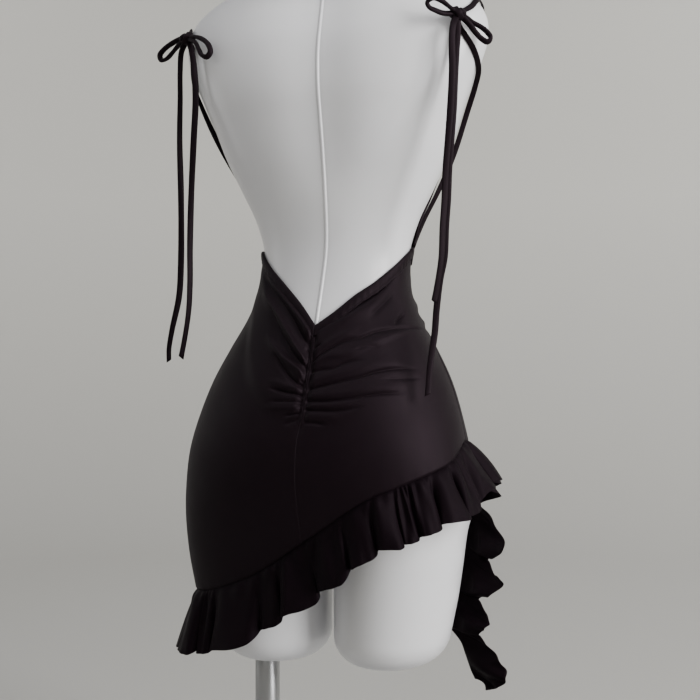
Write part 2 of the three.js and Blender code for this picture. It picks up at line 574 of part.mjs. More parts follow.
function addBands() {
  const backLeft = (degrees) => readTable(BACK_V_LEFT, 'at', ['z'], Math.abs(90 - degrees)).z;
  const backRight = (degrees) => readTable(BACK_V_RIGHT, 'at', ['z'], Math.abs(degrees - 90)).z;
  const front = (degrees) => readEdge(FRONT_TOP, Math.abs(degrees - 270));
  band('band_back_left', BACK_COLUMNS.map((at) => 90 - at).reverse(), backLeft, SEAM, SEAM);
  band('band_back_right', BACK_COLUMNS.map((at) => 90 + at), backRight, SEAM, SEAM);
  const armhole = FRONT_COLUMNS.filter((at) => at >= 37.5);
  band('band_armhole_right', armhole.map((at) => 270 - at).reverse(), front, SEAM, SEAM);
  band('band_armhole_left', armhole.map((at) => 270 + at), front, SEAM, SEAM);
  const neck = FRONT_COLUMNS.filter((at) => at <= 37.5);
  band('band_neckline', [...neck.slice(1).reverse().map((at) => 270 - at),
    ...neck.map((at) => 270 + at)], front, SEAM, SEAM);
}

// Hem ruffles: folded at right angles to their seam, growing towards the free edge.
function hemRuffle(ruffle) {
  const count = ruffle.waves * WAVE_STEPS;
  const inner = [];
  const outer = [];
  for (let i = 0; i <= RUFFLE_ROWS; i += 1) {
    const depth = i / RUFFLE_ROWS;
    const innerRow = [];
    const outerRow = [];
    for (let j = 0; j <= count; j += 1) {
      const s = j / count;
      const even = s * (1 + ruffle.fine) - ruffle.fine * s * s;
      const degrees = ruffle.from + (ruffle.to - ruffle.from) * even;
      const shape = readTable(RUFFLE_SHAPE, 'at', ['depth', 'flare', 'wave'], degrees);
      const seamZ = hemAt(degrees) - SEAM;
      const round = roundward(seamZ, degrees);
      const normal = figureNormal(seamZ, degrees);
      const step = figurePoint(seamZ, degrees + 1).distanceTo(figurePoint(seamZ, degrees - 1));
      const rise = (readTable(HEM, 'at', ['z'], degrees + 1).z
        - readTable(HEM, 'at', ['z'], degrees - 1).z) / step;
      const down = round.clone().multiplyScalar(rise);
      down.z = -1;
      down.normalize();
      const phase = s * ruffle.waves * Math.PI * 2;
      const ends = smooth(0, 0.02, s) * smooth(0, 0.02, 1 - s);
      const flare = Math.asin(shape.flare / shape.depth);
      const run = shape.depth * depth;
      const lift = shape.wave * depth ** 0.8 * (1 + Math.sin(phase) * ends);
      const lean = shape.wave * 0.5 * depth * Math.sin(2 * phase) * ends;
      const hang = cover(seamZ, degrees, CLOTH_CLEAR)
        .addScaledVector(down, run * Math.cos(flare))
        .addScaledVector(normal, run * Math.sin(flare) + lift)
        .addScaledVector(round, lean);
      if (j === 0) hang.addScaledVector(round, SEAM);
      if (j === count) hang.addScaledVector(round, -SEAM);
      innerRow.push(hang);
      outerRow.push(hang.clone().addScaledVector(normal, i === 0 ? CLOTH : FRILL));
    }
    inner.push(innerRow);
    outer.push(outerRow);
  }
  addPiece(ruffle.name, wall(inner, outer), BLACK_JERSEY);
}

// The cascade: a strip whose free edge swings to and fro as it falls.
function cascade() {
  const spine = new THREE.CatmullRomCurve3(
    CASCADE.map((row) => new THREE.Vector3(row.x, row.y, row.z)), false, 'centripetal',
  );
  const edge = new THREE.CatmullRomCurve3(
    CASCADE.map((row) => new THREE.Vector3(row.freeX, row.freeY, row.freeZ)),
    false, 'centripetal',
  );
  const count = (CASCADE.length - 1) * CASCADE_STEPS;
  const grid = [];
  for (let i = 0; i <= count; i += 1) {
    const a = spine.getPoint(i / count);
    const b = edge.getPoint(i / count);
    const row = [];
    for (let k = 0; k <= CASCADE_ROWS; k += 1) {
      row.push(a.clone().lerp(b, k / CASCADE_ROWS));
    }
    grid.push(row);
  }
  const pick = (i, k) => grid[Math.min(Math.max(i, 0), count)][Math.min(Math.max(k, 0), CASCADE_ROWS)];
  const inner = [];
  const outer = [];
  grid.forEach((row, i) => {
    const innerRow = [];
    const outerRow = [];
    row.forEach((p, k) => {
      const along = pick(i + 1, k).clone().sub(pick(i - 1, k));
      const across = pick(i, k + 1).clone().sub(pick(i, k - 1));
      const normal = along.cross(across).normalize();
      innerRow.push(p.clone().addScaledVector(normal, -FRILL / 2));
      outerRow.push(p.clone().addScaledVector(normal, FRILL / 2));
    });
    inner.push(innerRow);
    outer.push(outerRow);
  });
  addPiece('cascade', wall(inner, outer), BLACK_JERSEY);
}

// Straps lie on the figure; `mirror` takes the table from the wearer's right to the left.
function strap(name, rows, mirror, knot) {
  const toAngle = (at) => (mirror ? -at : 180 + at);
  const nodes = rows.map((row) => cover(row.z, toAngle(row.at), row.off));
  const centre = new THREE.Vector3(knot.x, knot.y, knot.z);
  const last = nodes[nodes.length - 1];
  nodes.push(centre.clone().add(last.clone().sub(centre).setLength(KNOT_RADIUS + 2 * KNOT_GAP)));
  const path = smoothPath(nodes, rows.length + 6);
  const normals = rows.map((row) => figureNormal(row.z, toAngle(row.at)));
  normals.push(normals[normals.length - 1]);
  const broad = (t) => {
    const at = Math.min(Math.floor(t * (normals.length - 1)), normals.length - 2);
    const normal = normals[at].clone().lerp(normals[at + 1], t * (normals.length - 1) - at);
    const i = Math.min(Math.round(t * (path.length - 1)), path.length - 2);
    return path[i + 1].clone().sub(path[i]).cross(normal).normalize();
  };
  addPiece(name, tape(path, broad, STRAP_WIDTH, STRAP_THICK), BLACK_JERSEY);
}

function bow(spec) {
  const centre = new THREE.Vector3(spec.knot.x, spec.knot.y, spec.knot.z);
  const knot = new THREE.SphereGeometry(KNOT_RADIUS, 11, 7);
  knot.translate(centre.x, centre.y, centre.z);
  addPiece(`knot_${spec.side}`, knot, BLACK_JERSEY);
  const leave = (to) => centre.clone()
    .add(new THREE.Vector3(to.x, to.y, to.z).sub(centre).setLength(KNOT_RADIUS + KNOT_GAP));
  spec.loops.forEach((rows, k) => {
    const nodes = [leave(rows[0]), ...rows.map((p) => new THREE.Vector3(p.x, p.y, p.z)),
      leave(rows[rows.length - 1])];
    const plane = nodes[1].clone().sub(centre).cross(nodes[nodes.length - 2].clone().sub(centre));
    addPiece(`loop_${spec.side}_${k + 1}`,
      tape(smoothPath(nodes, 16), () => plane, TIE_WIDTH, TIE_THICK), BLACK_JERSEY);
  });
  spec.ties.forEach((rows, k) => {
    const nodes = [leave(rows[0]), ...rows.map((p) => new THREE.Vector3(p.x, p.y, p.z))];
    const level = new THREE.Vector3(Math.cos(19 * RAD), Math.sin(19 * RAD), 0);
    addPiece(`tie_${spec.side}_${k + 1}`,
      flatCord(nodes, TIE_STEPS, level, TIE_WIDTH, TIE_THICK), BLACK_JERSEY);
  });
}

// The form: torso and two closed thigh stubs joined, kept inside the figure.
async function addForm() {
  const wasm = await Module();
  wasm.setup();
  const solid = (geometry) => new wasm.Manifold(new wasm.Mesh({
    numProp: 3,
    vertProperties: new Float32Array(geometry.getAttribute('position').array),
    triVerts: new Uint32Array(geometry.getIndex().array),
  }));
  const ringAt = (z, scale) => FORM_ANGLES.map((degrees) => {
    const p = figurePoint(z, degrees, BUST.formSwell);
    return new THREE.Vector3(p.x * scale, p.y * scale, z);
  });
  const torso = loft([
    ...CROTCH.map((row) => ringAt(row.z, row.scale)).reverse(),
    ...FORM_RINGS.map((z) => ringAt(z, 1)),
  ]);
  const thighRing = (side, z, inset, level) => [...Array(THIGH.sides).keys()].map((k) => {
    const s = readTable(FIGURE, 'z', FIGURE_KEYS, z);
    const a = (k * 2 * Math.PI) / THIGH.sides;
    const c = Math.cos(a);
    const q = Math.sin(a);
    const half = (s.half - THIGH.gap) / 2 - inset;
    const depth = (q > 0 ? s.back - s.mid : s.mid - s.front) * THIGH.depth - inset;
    return new THREE.Vector3(side * ((s.half + THIGH.gap) / 2) + half * c, s.mid + depth * q, level);
  });
  const thigh = (side) => {
    const rings = [];
    for (const turn of [90, 72, 54, 36, 18, 0]) {
      const inset = THIGH.round * (1 - Math.cos(turn * RAD));
      const level = THIGH.bottom + THIGH.round * (1 - Math.sin(turn * RAD));
      rings.push(thighRing(side, level, inset, level));
    }
    return loft([...rings, ...[...THIGH_RINGS].reverse().filter((z) => z > 291)
      .map((z) => thighRing(side, z, 0, z))]);
  };
  const envelope = loft([250, 270, ...THIGH_RINGS.slice().reverse(), ...FORM_RINGS.slice(2)]
    .map((z) => ringAt(z, 1)));
  const legs = solid(thigh(1)).add(solid(thigh(-1))).intersect(solid(envelope));
  const merged = solid(torso).add(legs).getMesh();
  const points = [];
  for (let i = 0; i < merged.vertProperties.length; i += merged.numProp) {
    points.push(new THREE.Vector3(...merged.vertProperties.slice(i, i + 3)));
  }
  const faces = [];
  for (let i = 0; i < merged.triVerts.length; i += 3) {
    faces.push([merged.triVerts[i], merged.triVerts[i + 1], merged.triVerts[i + 2]]);
  }
  addPiece('form', solidFrom(points, faces), WHITE_FORM);
}

// The stand: pole under the wearer's left stub, foot ring and base plate.
function upright(radius, bottom, top, sides) {
  const geometry = new THREE.CylinderGeometry(radius, radius, top - bottom, sides);
  geometry.rotateX(Math.PI / 2);
  geometry.translate(POLE.x, POLE.y, (top + bottom) / 2);
  return geometry;
}

function addStand() {
  addPiece('pole', upright(POLE.radius, BASE.height + FOOT.height + 0.3, POLE.top, POLE.sides),
    POLISHED_STEEL);
  addPiece('foot_ring', upright(FOOT.radius, BASE.height + 0.2, BASE.height + FOOT.height, FOOT.sides),
    POLISHED_STEEL);
  const outline = new THREE.Shape();
  const w = BASE.width / 2;
  const d = BASE.depth / 2;
  const r = BASE.corner;
  outline.moveTo(-w + r, -d);
  outline.lineTo(w - r, -d).quadraticCurveTo(w, -d, w, -d + r);
  outline.lineTo(w, d - r).quadraticCurveTo(w, d, w - r, d);
  outline.lineTo(-w + r, d).quadraticCurveTo(-w, d, -w, d - r);
  outline.lineTo(-w, -d + r).quadraticCurveTo(-w, -d, -w + r, -d);
  const plate = new THREE.ExtrudeGeometry(outline, {
    depth: BASE.height, bevelEnabled: false, curveSegments: 8,
  });
  addPiece('base_plate', plate, POLISHED_STEEL);
}

await addForm();
addStand();
backPanel(BACK_PANELS.left);
backPanel(BACK_PANELS.right);
frontPanel();
addBands();
RUFFLES.forEach(hemRuffle);
cascade();
for (const spec of BOWS) {
  const mirror = spec.side === 'left';
  strap(`strap_front_${spec.side}`, STRAP_FRONT, mirror, spec.knot);
  strap(`strap_side_${spec.side}`, STRAP_SIDE, mirror, spec.knot);
  bow(spec);
}

export default group;
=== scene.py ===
import math

import bpy
import numpy as np
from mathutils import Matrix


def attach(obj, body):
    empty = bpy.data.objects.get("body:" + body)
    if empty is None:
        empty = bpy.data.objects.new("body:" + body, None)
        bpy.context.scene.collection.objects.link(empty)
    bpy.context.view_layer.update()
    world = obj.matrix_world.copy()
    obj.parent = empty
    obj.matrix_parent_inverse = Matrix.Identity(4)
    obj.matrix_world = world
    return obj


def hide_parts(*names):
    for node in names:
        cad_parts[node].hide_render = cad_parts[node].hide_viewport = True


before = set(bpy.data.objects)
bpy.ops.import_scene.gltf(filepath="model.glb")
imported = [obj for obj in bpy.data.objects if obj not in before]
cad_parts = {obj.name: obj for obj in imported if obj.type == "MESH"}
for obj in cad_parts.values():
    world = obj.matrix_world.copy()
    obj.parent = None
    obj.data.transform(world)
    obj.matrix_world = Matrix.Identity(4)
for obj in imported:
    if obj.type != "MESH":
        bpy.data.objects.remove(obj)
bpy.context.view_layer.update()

# The view. The camera stands 1.6 m off, level with the hip and turned 19 degrees from the centre
# back towards the side where the hem is high, and frames the form a little left of the middle.
VIEW_TURN = math.radians(19)
VIEW_DISTANCE = 1.6
VIEW_HEIGHT = 0.64
VIEW_LENS = 65.83
VIEW_SHIFT = 17 / 700

view_data = bpy.data.cameras.new("view")
view_data.lens = VIEW_LENS
view_data.shift_x = VIEW_SHIFT
view = bpy.data.objects.new("view", view_data)
view.location = (-VIEW_DISTANCE * math.sin(VIEW_TURN), VIEW_DISTANCE * math.cos(VIEW_TURN), VIEW_HEIGHT)
view.rotation_euler = (math.pi / 2, 0, math.pi + VIEW_TURN)
bpy.context.scene.collection.objects.link(view)
bpy.context.scene.camera = view

# The stand: a steel plate with broken edges, a turned foot ring and a polished tube that goes up
# into the form's left stub. All three are brushed along their length and lightly polished.
PLATE_WIDTH, PLATE_DEPTH, PLATE_CORNER = 400, 340, 40
PLATE_EDGE = [(1.6, 0), (0.4, 0.5), (0, 1.6), (0, 6.4), (0.4, 7.5), (1.6, 8)]
POLE_X = 88
POLE_PROFILE = [(14.6, 22.3), (15.5, 23.2), (15.5, 120), (15.5, 254.6), (14.9, 255.6)]
RING_PROFILE = [
    (33.4, 8.2), (34, 8.8), (34, 13.4), (33.2, 14.6), (26, 15.4), (22.4, 16.6), (20.6, 19),
    (20.2, 21), (19.4, 21.9), (17, 22),
]


def grid_faces(rows, columns, wrap=False):
    i, j = np.meshgrid(np.arange(rows - 1), np.arange(columns if wrap else columns - 1), indexing="ij")
    a = i * columns + j
    b = i * columns + (j + 1) % columns
    return np.stack([a, b, b + columns, a + columns], -1).reshape(-1, 4).tolist()


def closed_rings(rings):
    rings = np.asarray(rings, float)
    rows, columns = rings.shape[:2]
    points = np.vstack([rings.reshape(-1, 3), rings[0].mean(0), rings[-1].mean(0)])
    faces = grid_faces(rows, columns, True)
    low, high, top = rows * columns, rows * columns + 1, (rows - 1) * columns
    for k in range(columns):
        following = (k + 1) % columns
        faces.append([low, following, k])
        faces.append([high, top + k, top + following])
    return points, faces


def make_piece(name, points, faces, material, uv=None):
    mesh = bpy.data.meshes.new(name)
    mesh.from_pydata((np.asarray(points) / 1000).tolist(), [], faces)
    mesh.materials.append(material)
    if uv is not None:
        corners = np.empty(len(mesh.loops), dtype=np.int32)
        mesh.loops.foreach_get("vertex_index", corners)
        layer = mesh.uv_layers.new(name="cut")
        layer.data.foreach_set("uv", (np.asarray(uv) / 1000)[corners].ravel())
    mesh.shade_smooth()
    piece = bpy.data.objects.new(name, mesh)
    bpy.context.scene.collection.objects.link(piece)
    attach(piece, "root")
    return piece


def turned_rings(profile, x, sides):
    angle = np.arange(sides) * 2 * math.pi / sides
    return [
        np.stack([x + r * np.cos(angle), r * np.sin(angle), np.full(sides, float(z))], -1)
        for r, z in profile
    ]


def set_inputs(node, **values):
    for key, value in values.items():
        node.inputs[key.replace("_", " ")].default_value = value


def new_material(name, colour, roughness, **values):
    material = bpy.data.materials.new(name)
    material.use_nodes = True
    shader = material.node_tree.nodes["Principled BSDF"]
    set_inputs(shader, Base_Color=(*colour, 1), Roughness=roughness, **values)
    return material, shader


def add_node(home, kind, **values):
    node = getattr(home, "node_tree", home).nodes.new("ShaderNode" + kind)
    set_inputs(node, **values)
    return node


def join(home, *links):
    tree = getattr(home, "node_tree", home)
    for source, output, target, socket in links:
        tree.links.new(source.outputs[output], target.inputs[socket])


def new_group(name, inputs, outputs):
    group = bpy.data.node_groups.new(name, "ShaderNodeTree")
    for side, sockets in (("INPUT", inputs), ("OUTPUT", outputs)):
        for word, kind in sockets.items():
            group.interface.new_socket(word, in_out=side, socket_type="NodeSocket" + kind)
    return group, group.nodes.new("NodeGroupInput"), group.nodes.new("NodeGroupOutput")


# The fine unevenness that steel, plastic and plaster share: each sets how coarse it is and how much
# it changes the roughness and the relief.
def grain_group():
    values = ("Scale", "Detail", "Smooth", "Rough", "Strength", "Distance")
    group, source, sink = new_group(
        "surface_grain",
        {"Place": "Vector", **dict.fromkeys(values, "Float")},
        {"Tone": "Float", "Roughness": "Float", "Normal": "Vector"},
    )
    noise, rough, bump = (add_node(group, kind) for kind in ("TexNoise", "MapRange", "Bump"))
    join(
        group,
        (source, "Place", noise, "Vector"), (source, "Scale", noise, "Scale"),
        (source, "Detail", noise, "Detail"), (noise, "Fac", sink, "Tone"),
        (source, "Smooth", rough, "To Min"), (source, "Rough", rough, "To Max"),
        (noise, "Fac", rough, "Value"), (rough, "Result", sink, "Roughness"),
        (source, "Strength", bump, "Strength"), (source, "Distance", bump, "Distance"),
        (noise, "Fac", bump, "Height"), (bump, "Normal", sink, "Normal"),
    )
    return group


surface_grain = grain_group()


def add_group(material, group, **values):
    node = add_node(material, "Group")
    node.node_tree = group
    set_inputs(node, **values)
    return node


steel, shader = new_material("polished_steel", (0.41, 0.415, 0.425), 0.3, Metallic=1.0)
place = add_node(steel, "TexCoord")
stretch = add_node(steel, "Mapping", Scale=(900, 900, 14))
brushed = add_group(
    steel, surface_grain, Scale=1.0, Detail=3.0, Smooth=0.22, Rough=0.4, Strength=0.12, Distance=0.0002
)
join(
    steel,
    (place, "Object", stretch, "Vector"), (stretch, "Vector", brushed, "Place"),
    (brushed, "Roughness", shader, "Roughness"), (brushed, "Normal", shader, "Normal"),
)


def plate_outline(inset):
    w, d = PLATE_WIDTH / 2 - inset, PLATE_DEPTH / 2 - inset
    r = PLATE_CORNER - inset
    points = []
    for k, (sx, sy) in enumerate([(1, 1), (-1, 1), (-1, -1), (1, -1)]):
        for step in range(13):
            a = math.radians(90 * k + 7.5 * step)
            points.append((sx * (w - r) + r * math.cos(a), sy * (d - r) + r * math.sin(a)))
    return points


plate_rings = [[(x, y, z) for x, y in plate_outline(inset)] for inset, z in PLATE_EDGE]
plate = make_piece("stand_plate", *closed_rings(plate_rings), steel)
ring = make_piece("stand_ring", *closed_rings(turned_rings(RING_PROFILE, POLE_X, 72)), steel)
pole = make_piece("stand_tube", *closed_rings(turned_rings(POLE_PROFILE, POLE_X, 72)), steel)
for piece, node in ((plate, "base_plate"), (ring, "foot_ring"), (pole, "pole")):
    for polygon in piece.data.polygons:
        polygon.use_smooth = abs(polygon.normal.z) < 0.999
    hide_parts(node)

# The form: a hollow moulded torso in white satin plastic, without head, arms or legs, closed
# under the hips by two rounded stubs. The shell's halves meet in a thin raised line down the
# centre back and the centre front.
FIGURE = np.array([
    # height, half width, middle, back, front, squareness
    (250, 152, 0, 80, -84, 3.0), (300, 163, 0, 86, -90, 3.0), (345, 172, 0, 92, -94, 3.0),
    (390, 179.5, 2, 102, -98, 2.9), (440, 182, 5, 116, -102, 2.7), (480, 178, 8, 124, -104, 2.5),
    (520, 172, 8, 124, -105, 2.4), (560, 162.5, 4, 116, -105, 2.3), (600, 149, 0, 102, -103, 2.2),
    (640, 129, -6, 86, -100, 2.15), (680, 107.5, -11, 70, -94, 2.1), (720, 94, -14, 58, -89, 2.1),
    (765, 93.7, -15, 53, -86, 2.1), (800, 104, -13, 57, -88, 2.1), (840, 123, -10, 66, -97, 2.15),
    (880, 142, -6, 76, -108, 2.2), (920, 157, -2, 83, -108, 2.25), (955, 171, 2, 87, -96, 2.3),
    (990, 186.5, 1, 84, -82, 2.3), (1020, 195, -1, 76, -70, 2.3), (1045, 192, -2, 66, -61, 2.25),
    (1064, 179, -2, 58, -55, 2.2), (1080, 156, -1, 54, -51, 2.1), (1094, 126, 1, 53, -48, 2.0),
    (1108, 92, 3, 54, -46, 2.0), (1122, 66, 6, 57, -45, 2.0), (1140, 57, 4, 55, -48, 2.0),
    (1165, 54, 2, 54, -50, 2.0),
])
# The hips are carried a little to the left: height, how far.
SWAY = [(250, 0), (430, 0), (490, 2.4), (560, 2.4), (640, 1.8), (700, 2), (765, 0), (1165, 0)]
# The centre back wanders to the right at the waist: height, how far.
SPINE_DRIFT = [
    (250, 0), (505, 0), (535, -1), (563, -4.8), (600, -5.5), (668, -6), (720, -7.5), (767, -9.5),
    (815, -10), (861, -9.5), (908, -8.4), (956, -7), (1003, -5.4), (1036, -4.6), (1064, -3.2),
    (1100, 0.6), (1125, 0), (1165, 0),
]
BUST_X, BUST_Z, BUST_WIDTH, BUST_HEIGHT = 62, 884, 50, 56
BUST_UNDER_CLOTH, BUST_OF_FORM = 16, 13.5
CROTCH_TOP, CROTCH_DEPTH = 440, 72
NECK_EDGE = [(1161, 1), (1163.9, 0.985), (1165, 0.94), (1165, 0.5)]
STUB_GAP, STUB_SHARE, STUB_BOTTOM, STUB_ROUND = 6, 0.93, 256, 34
SPINE_DEPTH, SPINE_WIDTH = 7, 42
# The stubs are slimmer on their outer sides than the hips above them.
THIGH_TAPER, THIGH_TAPER_FROM, THIGH_TAPER_FULL = 13, 485, 400
MOULD_LINE = [
    # distance from the centre, height of the raised line
    (-3.4, 0), (-2.4, -0.25), (-1.6, 0.15), (-1.15, 0.95), (-0.45, 1.2),
    (0.45, 1.2), (1.15, 0.95), (1.6, 0.15), (2.4, -0.25), (3.4, 0),
]
MOULD_HALF_STRIP, MOULD_LOW_BELOW, MOULD_LOW = 5.5, 664, 0.45
SIDE_STEPS, STUB_STEPS = 60, 84


def smooth(low, high, value):
    t = np.clip((np.asarray(value, float) - low) / (high - low), 0, 1)
    return t * t * (3 - 2 * t)


def read_table(rows, at):
    rows = np.asarray(rows, float)
    at = np.asarray(at, float)
    key, values = rows[:, 0], rows[:, 1:]
    step = np.diff(key)
    rate = np.diff(values, axis=0) / step[:, None]
    slope = np.empty_like(values)
    slope[0], slope[-1] = rate[0], rate[-1]
    if len(rows) > 2:
        both = (step[1:] + step[:-1])[:, None]
        slope[1:-1] = (rate[:-1] * step[1:, None] + rate[1:] * step[:-1, None]) / both
    at = np.clip(at, key[0], key[-1])
    i = np.clip(np.searchsorted(key, at, side="right") - 1, 0, len(key) - 2)
    h = step[i][..., None]
    u = (at - key[i])[..., None] / h
    return (
        (1 + 2 * u) * (1 - u) ** 2 * values[i]
        + u * (1 - u) ** 2 * h * slope[i]
        + u * u * (3 - 2 * u) * values[i + 1]
        + u * u * (u - 1) * h * slope[i + 1]
    )


def figure(z, degrees, swell=BUST_UNDER_CLOTH):
    z, degrees = np.broadcast_arrays(np.asarray(z, float), np.asarray(degrees, float))
    half, mid, back, front, square = np.moveaxis(read_table(FIGURE, z), -1, 0)
    c, q = np.cos(np.radians(degrees)), np.sin(np.radians(degrees))
    k = (np.abs(c) ** square + np.abs(q) ** square) ** (-1 / square)
    x = half * c * k + read_table(SWAY, z)[..., 0]
    x = x + read_table(SPINE_DRIFT, z)[..., 0] * np.clip(q, 0, 1) ** 6
    y = mid + np.where(q >= 0, back - mid, mid - front) * q * k
    for side in (-1, 1):
        dx, dz = (x - side * BUST_X) / BUST_WIDTH, (z - BUST_Z) / BUST_HEIGHT
        y = y - np.where(q < 0, swell * np.exp(-dx * dx - dz * dz), 0)
    return np.stack([x, y, z], -1)


def unit(vectors):
    return vectors / np.linalg.norm(vectors, axis=-1, keepdims=True)


def roundward(z, degrees):
    return unit(figure(z, np.asarray(degrees) + 0.3) - figure(z, np.asarray(degrees) - 0.3))


def figure_normal(z, degrees):
    up = figure(np.asarray(z) + 1.0, degrees) - figure(np.asarray(z) - 1.0, degrees)
    return unit(np.cross(roundward(z, degrees), up))


def cover(z, degrees, off):
    off = np.asarray(off, float)[..., None]
    return figure(z, degrees) + figure_normal(z, degrees) * off


def thigh_half(z):
    return read_table(FIGURE, float(z))[0] - THIGH_TAPER * (1 - smooth(THIGH_TAPER_FULL, THIGH_TAPER_FROM, z))


def form_ring(z, scale):
    half = read_table(FIGURE, float(z))[0]
    across = np.array([x for x, _ in MOULD_LINE])
    raised = np.array([h for _, h in MOULD_LINE]) * (MOULD_LOW if z < MOULD_LOW_BELOW else 1)
    near = np.degrees(np.arccos(-across / half))
    edge = np.degrees(math.asin(MOULD_HALF_STRIP / half))
    sides = np.linspace(-90 + edge, 90 - edge, SIDE_STEPS)
    level = np.zeros(SIDE_STEPS)
    degrees = np.concatenate([sides, 180 - near[::-1], sides + 180, 360 - near[::-1]])
    lift = np.concatenate([level, raised[::-1], level, raised[::-1]])
    ring_points = figure(z, degrees, BUST_OF_FORM)
    spine = figure(z, 90.0)[0]
    deep = SPINE_DEPTH * smooth(800, 900, z) * (1 - smooth(1090, 1150, z))
    furrow = deep * np.exp(-(((ring_points[:, 0] - spine) / SPINE_WIDTH) ** 2))
    ring_points[:, 1] -= np.where(np.sin(np.radians(degrees)) > 0, furrow, 0)
    ring_points[:, :2] *= scale
    ring_points[:, 0] *= thigh_half(z) / half
    outward = figure_normal(np.full(len(degrees), min(z, 1160.0)), degrees)
    return ring_points + outward * lift[:, None]


crotch = np.linspace(1, 0.04, 16)
torso_rings = [form_ring(CROTCH_TOP - CROTCH_DEPTH * s, math.sqrt(1 - (s * 0.995) ** 2)) for s in crotch]
torso_rings += [form_ring(z, 1) for z in np.arange(CROTCH_TOP, 1160, 5.0)]
torso_rings += [form_ring(z, scale) for z, scale in NECK_EDGE]


def stub_rings(side):
    levels = [
        (STUB_ROUND * (1 - math.cos(a)), STUB_BOTTOM + STUB_ROUND * (1 - math.sin(a)))
        for a in np.radians(np.linspace(90, 0, 13))
    ]
    levels += [(0, z) for z in np.arange(295, 471, 6.0)]
    a = np.arange(STUB_STEPS) * 2 * math.pi / STUB_STEPS
    rings = []
    for inset, z in levels:
        mid, back, front, square = read_table(FIGURE, float(z))[1:]
        half = thigh_half(z)
        width = (half - STUB_GAP) / 2 - inset
        depth = np.where(np.sin(a) > 0, back - mid, mid - front) * STUB_SHARE - inset
        x = side * (half + STUB_GAP) / 2 + width * np.cos(a)
        y = depth * np.sin(a)
        reach = np.where(y > 0, back - mid, mid - front)
        out = (np.abs(x) / half) ** square + (np.abs(y) / reach) ** square
        keep = np.where(out > 1, out ** (-1 / square), 1)
        rings.append(np.stack([x * keep, mid + y * keep, np.full(STUB_STEPS, float(z))], -1))
    return rings


def two_tones(home, first, last, start=0.0, stop=1.0):
    tone = add_node(home, "ValToRGB")
    for mark, place, colour in zip(tone.color_ramp.elements, (start, stop), (first, last)):
        mark.position = place
        mark.color = (*colour, 1)
    return tone


plastic, shader = new_material(
    "white_form", (0.72, 0.72, 0.745), 0.3, Coat_Weight=0.35, Coat_Roughness=0.3
)
place = add_node(plastic, "TexCoord")
patch = add_group(plastic, surface_grain, Scale=7.0, Detail=4.0, Smooth=0.27, Rough=0.38)
skin = add_group(plastic, surface_grain, Scale=420.0, Detail=2.0, Strength=0.06, Distance=0.0003)
tone = two_tones(plastic, (0.715, 0.715, 0.74), (0.775, 0.775, 0.79), 0.3, 0.7)
join(
    plastic,
    (place, "Object", patch, "Place"), (place, "Object", skin, "Place"),
    (patch, "Tone", tone, "Fac"), (tone, "Color", shader, "Base Color"),
    (patch, "Roughness", shader, "Roughness"), (skin, "Normal", shader, "Normal"),
)

form = make_piece("torso_form", *closed_rings(torso_rings), plastic)
stubs = [
    make_piece(f"stub_{word}", *closed_rings(stub_rings(side)), plastic)
    for side, word in ((1, "left"), (-1, "right"))
]
for stub in stubs:
    weld = form.modifiers.new("weld", "BOOLEAN")
    weld.operation = "UNION"
    weld.object = stub
bpy.context.view_layer.update()
welded = bpy.data.meshes.new_from_object(form.evaluated_get(bpy.context.evaluated_depsgraph_get()))
form.modifiers.clear()
form.data = welded
for stub in stubs:
    bpy.data.objects.remove(stub)

# Where the stubs join the torso, each point is moved towards its neighbours to soften the join.
form_points = np.empty(len(welded.vertices) * 3)
welded.vertices.foreach_get("co", form_points)
form_points = form_points.reshape(-1, 3)
form_edges = np.empty(len(welded.edges) * 2, dtype=np.int32)
welded.edges.foreach_get("vertices", form_edges)
form_edges = form_edges.reshape(-1, 2)
join_height = form_points[:, 2] * 1000
softened = np.clip((join_height - 340) / 30, 0, 1) * np.clip((462 - join_height) / 20, 0, 1)
neighbours = np.bincount(form_edges.ravel(), minlength=len(form_points)).clip(1)
for _ in range(14):
    total = np.zeros_like(form_points)
    np.add.at(total, form_edges[:, 0], form_points[form_edges[:, 1]])
    np.add.at(total, form_edges[:, 1], form_points[form_edges[:, 0]])
    form_points += 0.5 * softened[:, None] * (total / neighbours[:, None] - form_points)
welded.vertices.foreach_set("co", form_points.ravel())
welded.shade_smooth()
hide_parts("form")

# The back of the dress: two panels of fine black jersey cut to a low V and drawn up along a
# narrow stitched channel at the centre back, so folds fan out of it to both sides.
CLOTH_LIFT, LEAST_LIFT, CLOTH_WALL = 2.7, 1.25, 1.2
CHANNEL, GATHER_END = 1.1, 548
CASING_HEIGHT, TUCK_DEPTH, SEAM_GROOVE, HEM_TURN = 0.75, 1.3, 0.06, 1.2
BACK_V = {
    "left": [(0, 668), (10, 690), (24, 713), (44.5, 739), (71, 763), (93, 766)],
    "right": [(0, 668), (12.5, 685), (25, 702), (44, 721), (59.5, 737), (81.5, 757), (93, 764)],
}
HEM = [
    (-3, 337), (27.8, 340), (49, 347), (62.5, 362), (70, 373), (79.5, 391), (88, 409), (97, 428),
    (109, 454), (117, 469), (127, 481), (140, 494), (156, 507), (170, 522), (183, 530),
    (203, 522), (225, 494), (248, 455), (270, 415), (292, 376), (315, 350), (335, 339), (357, 337),
]
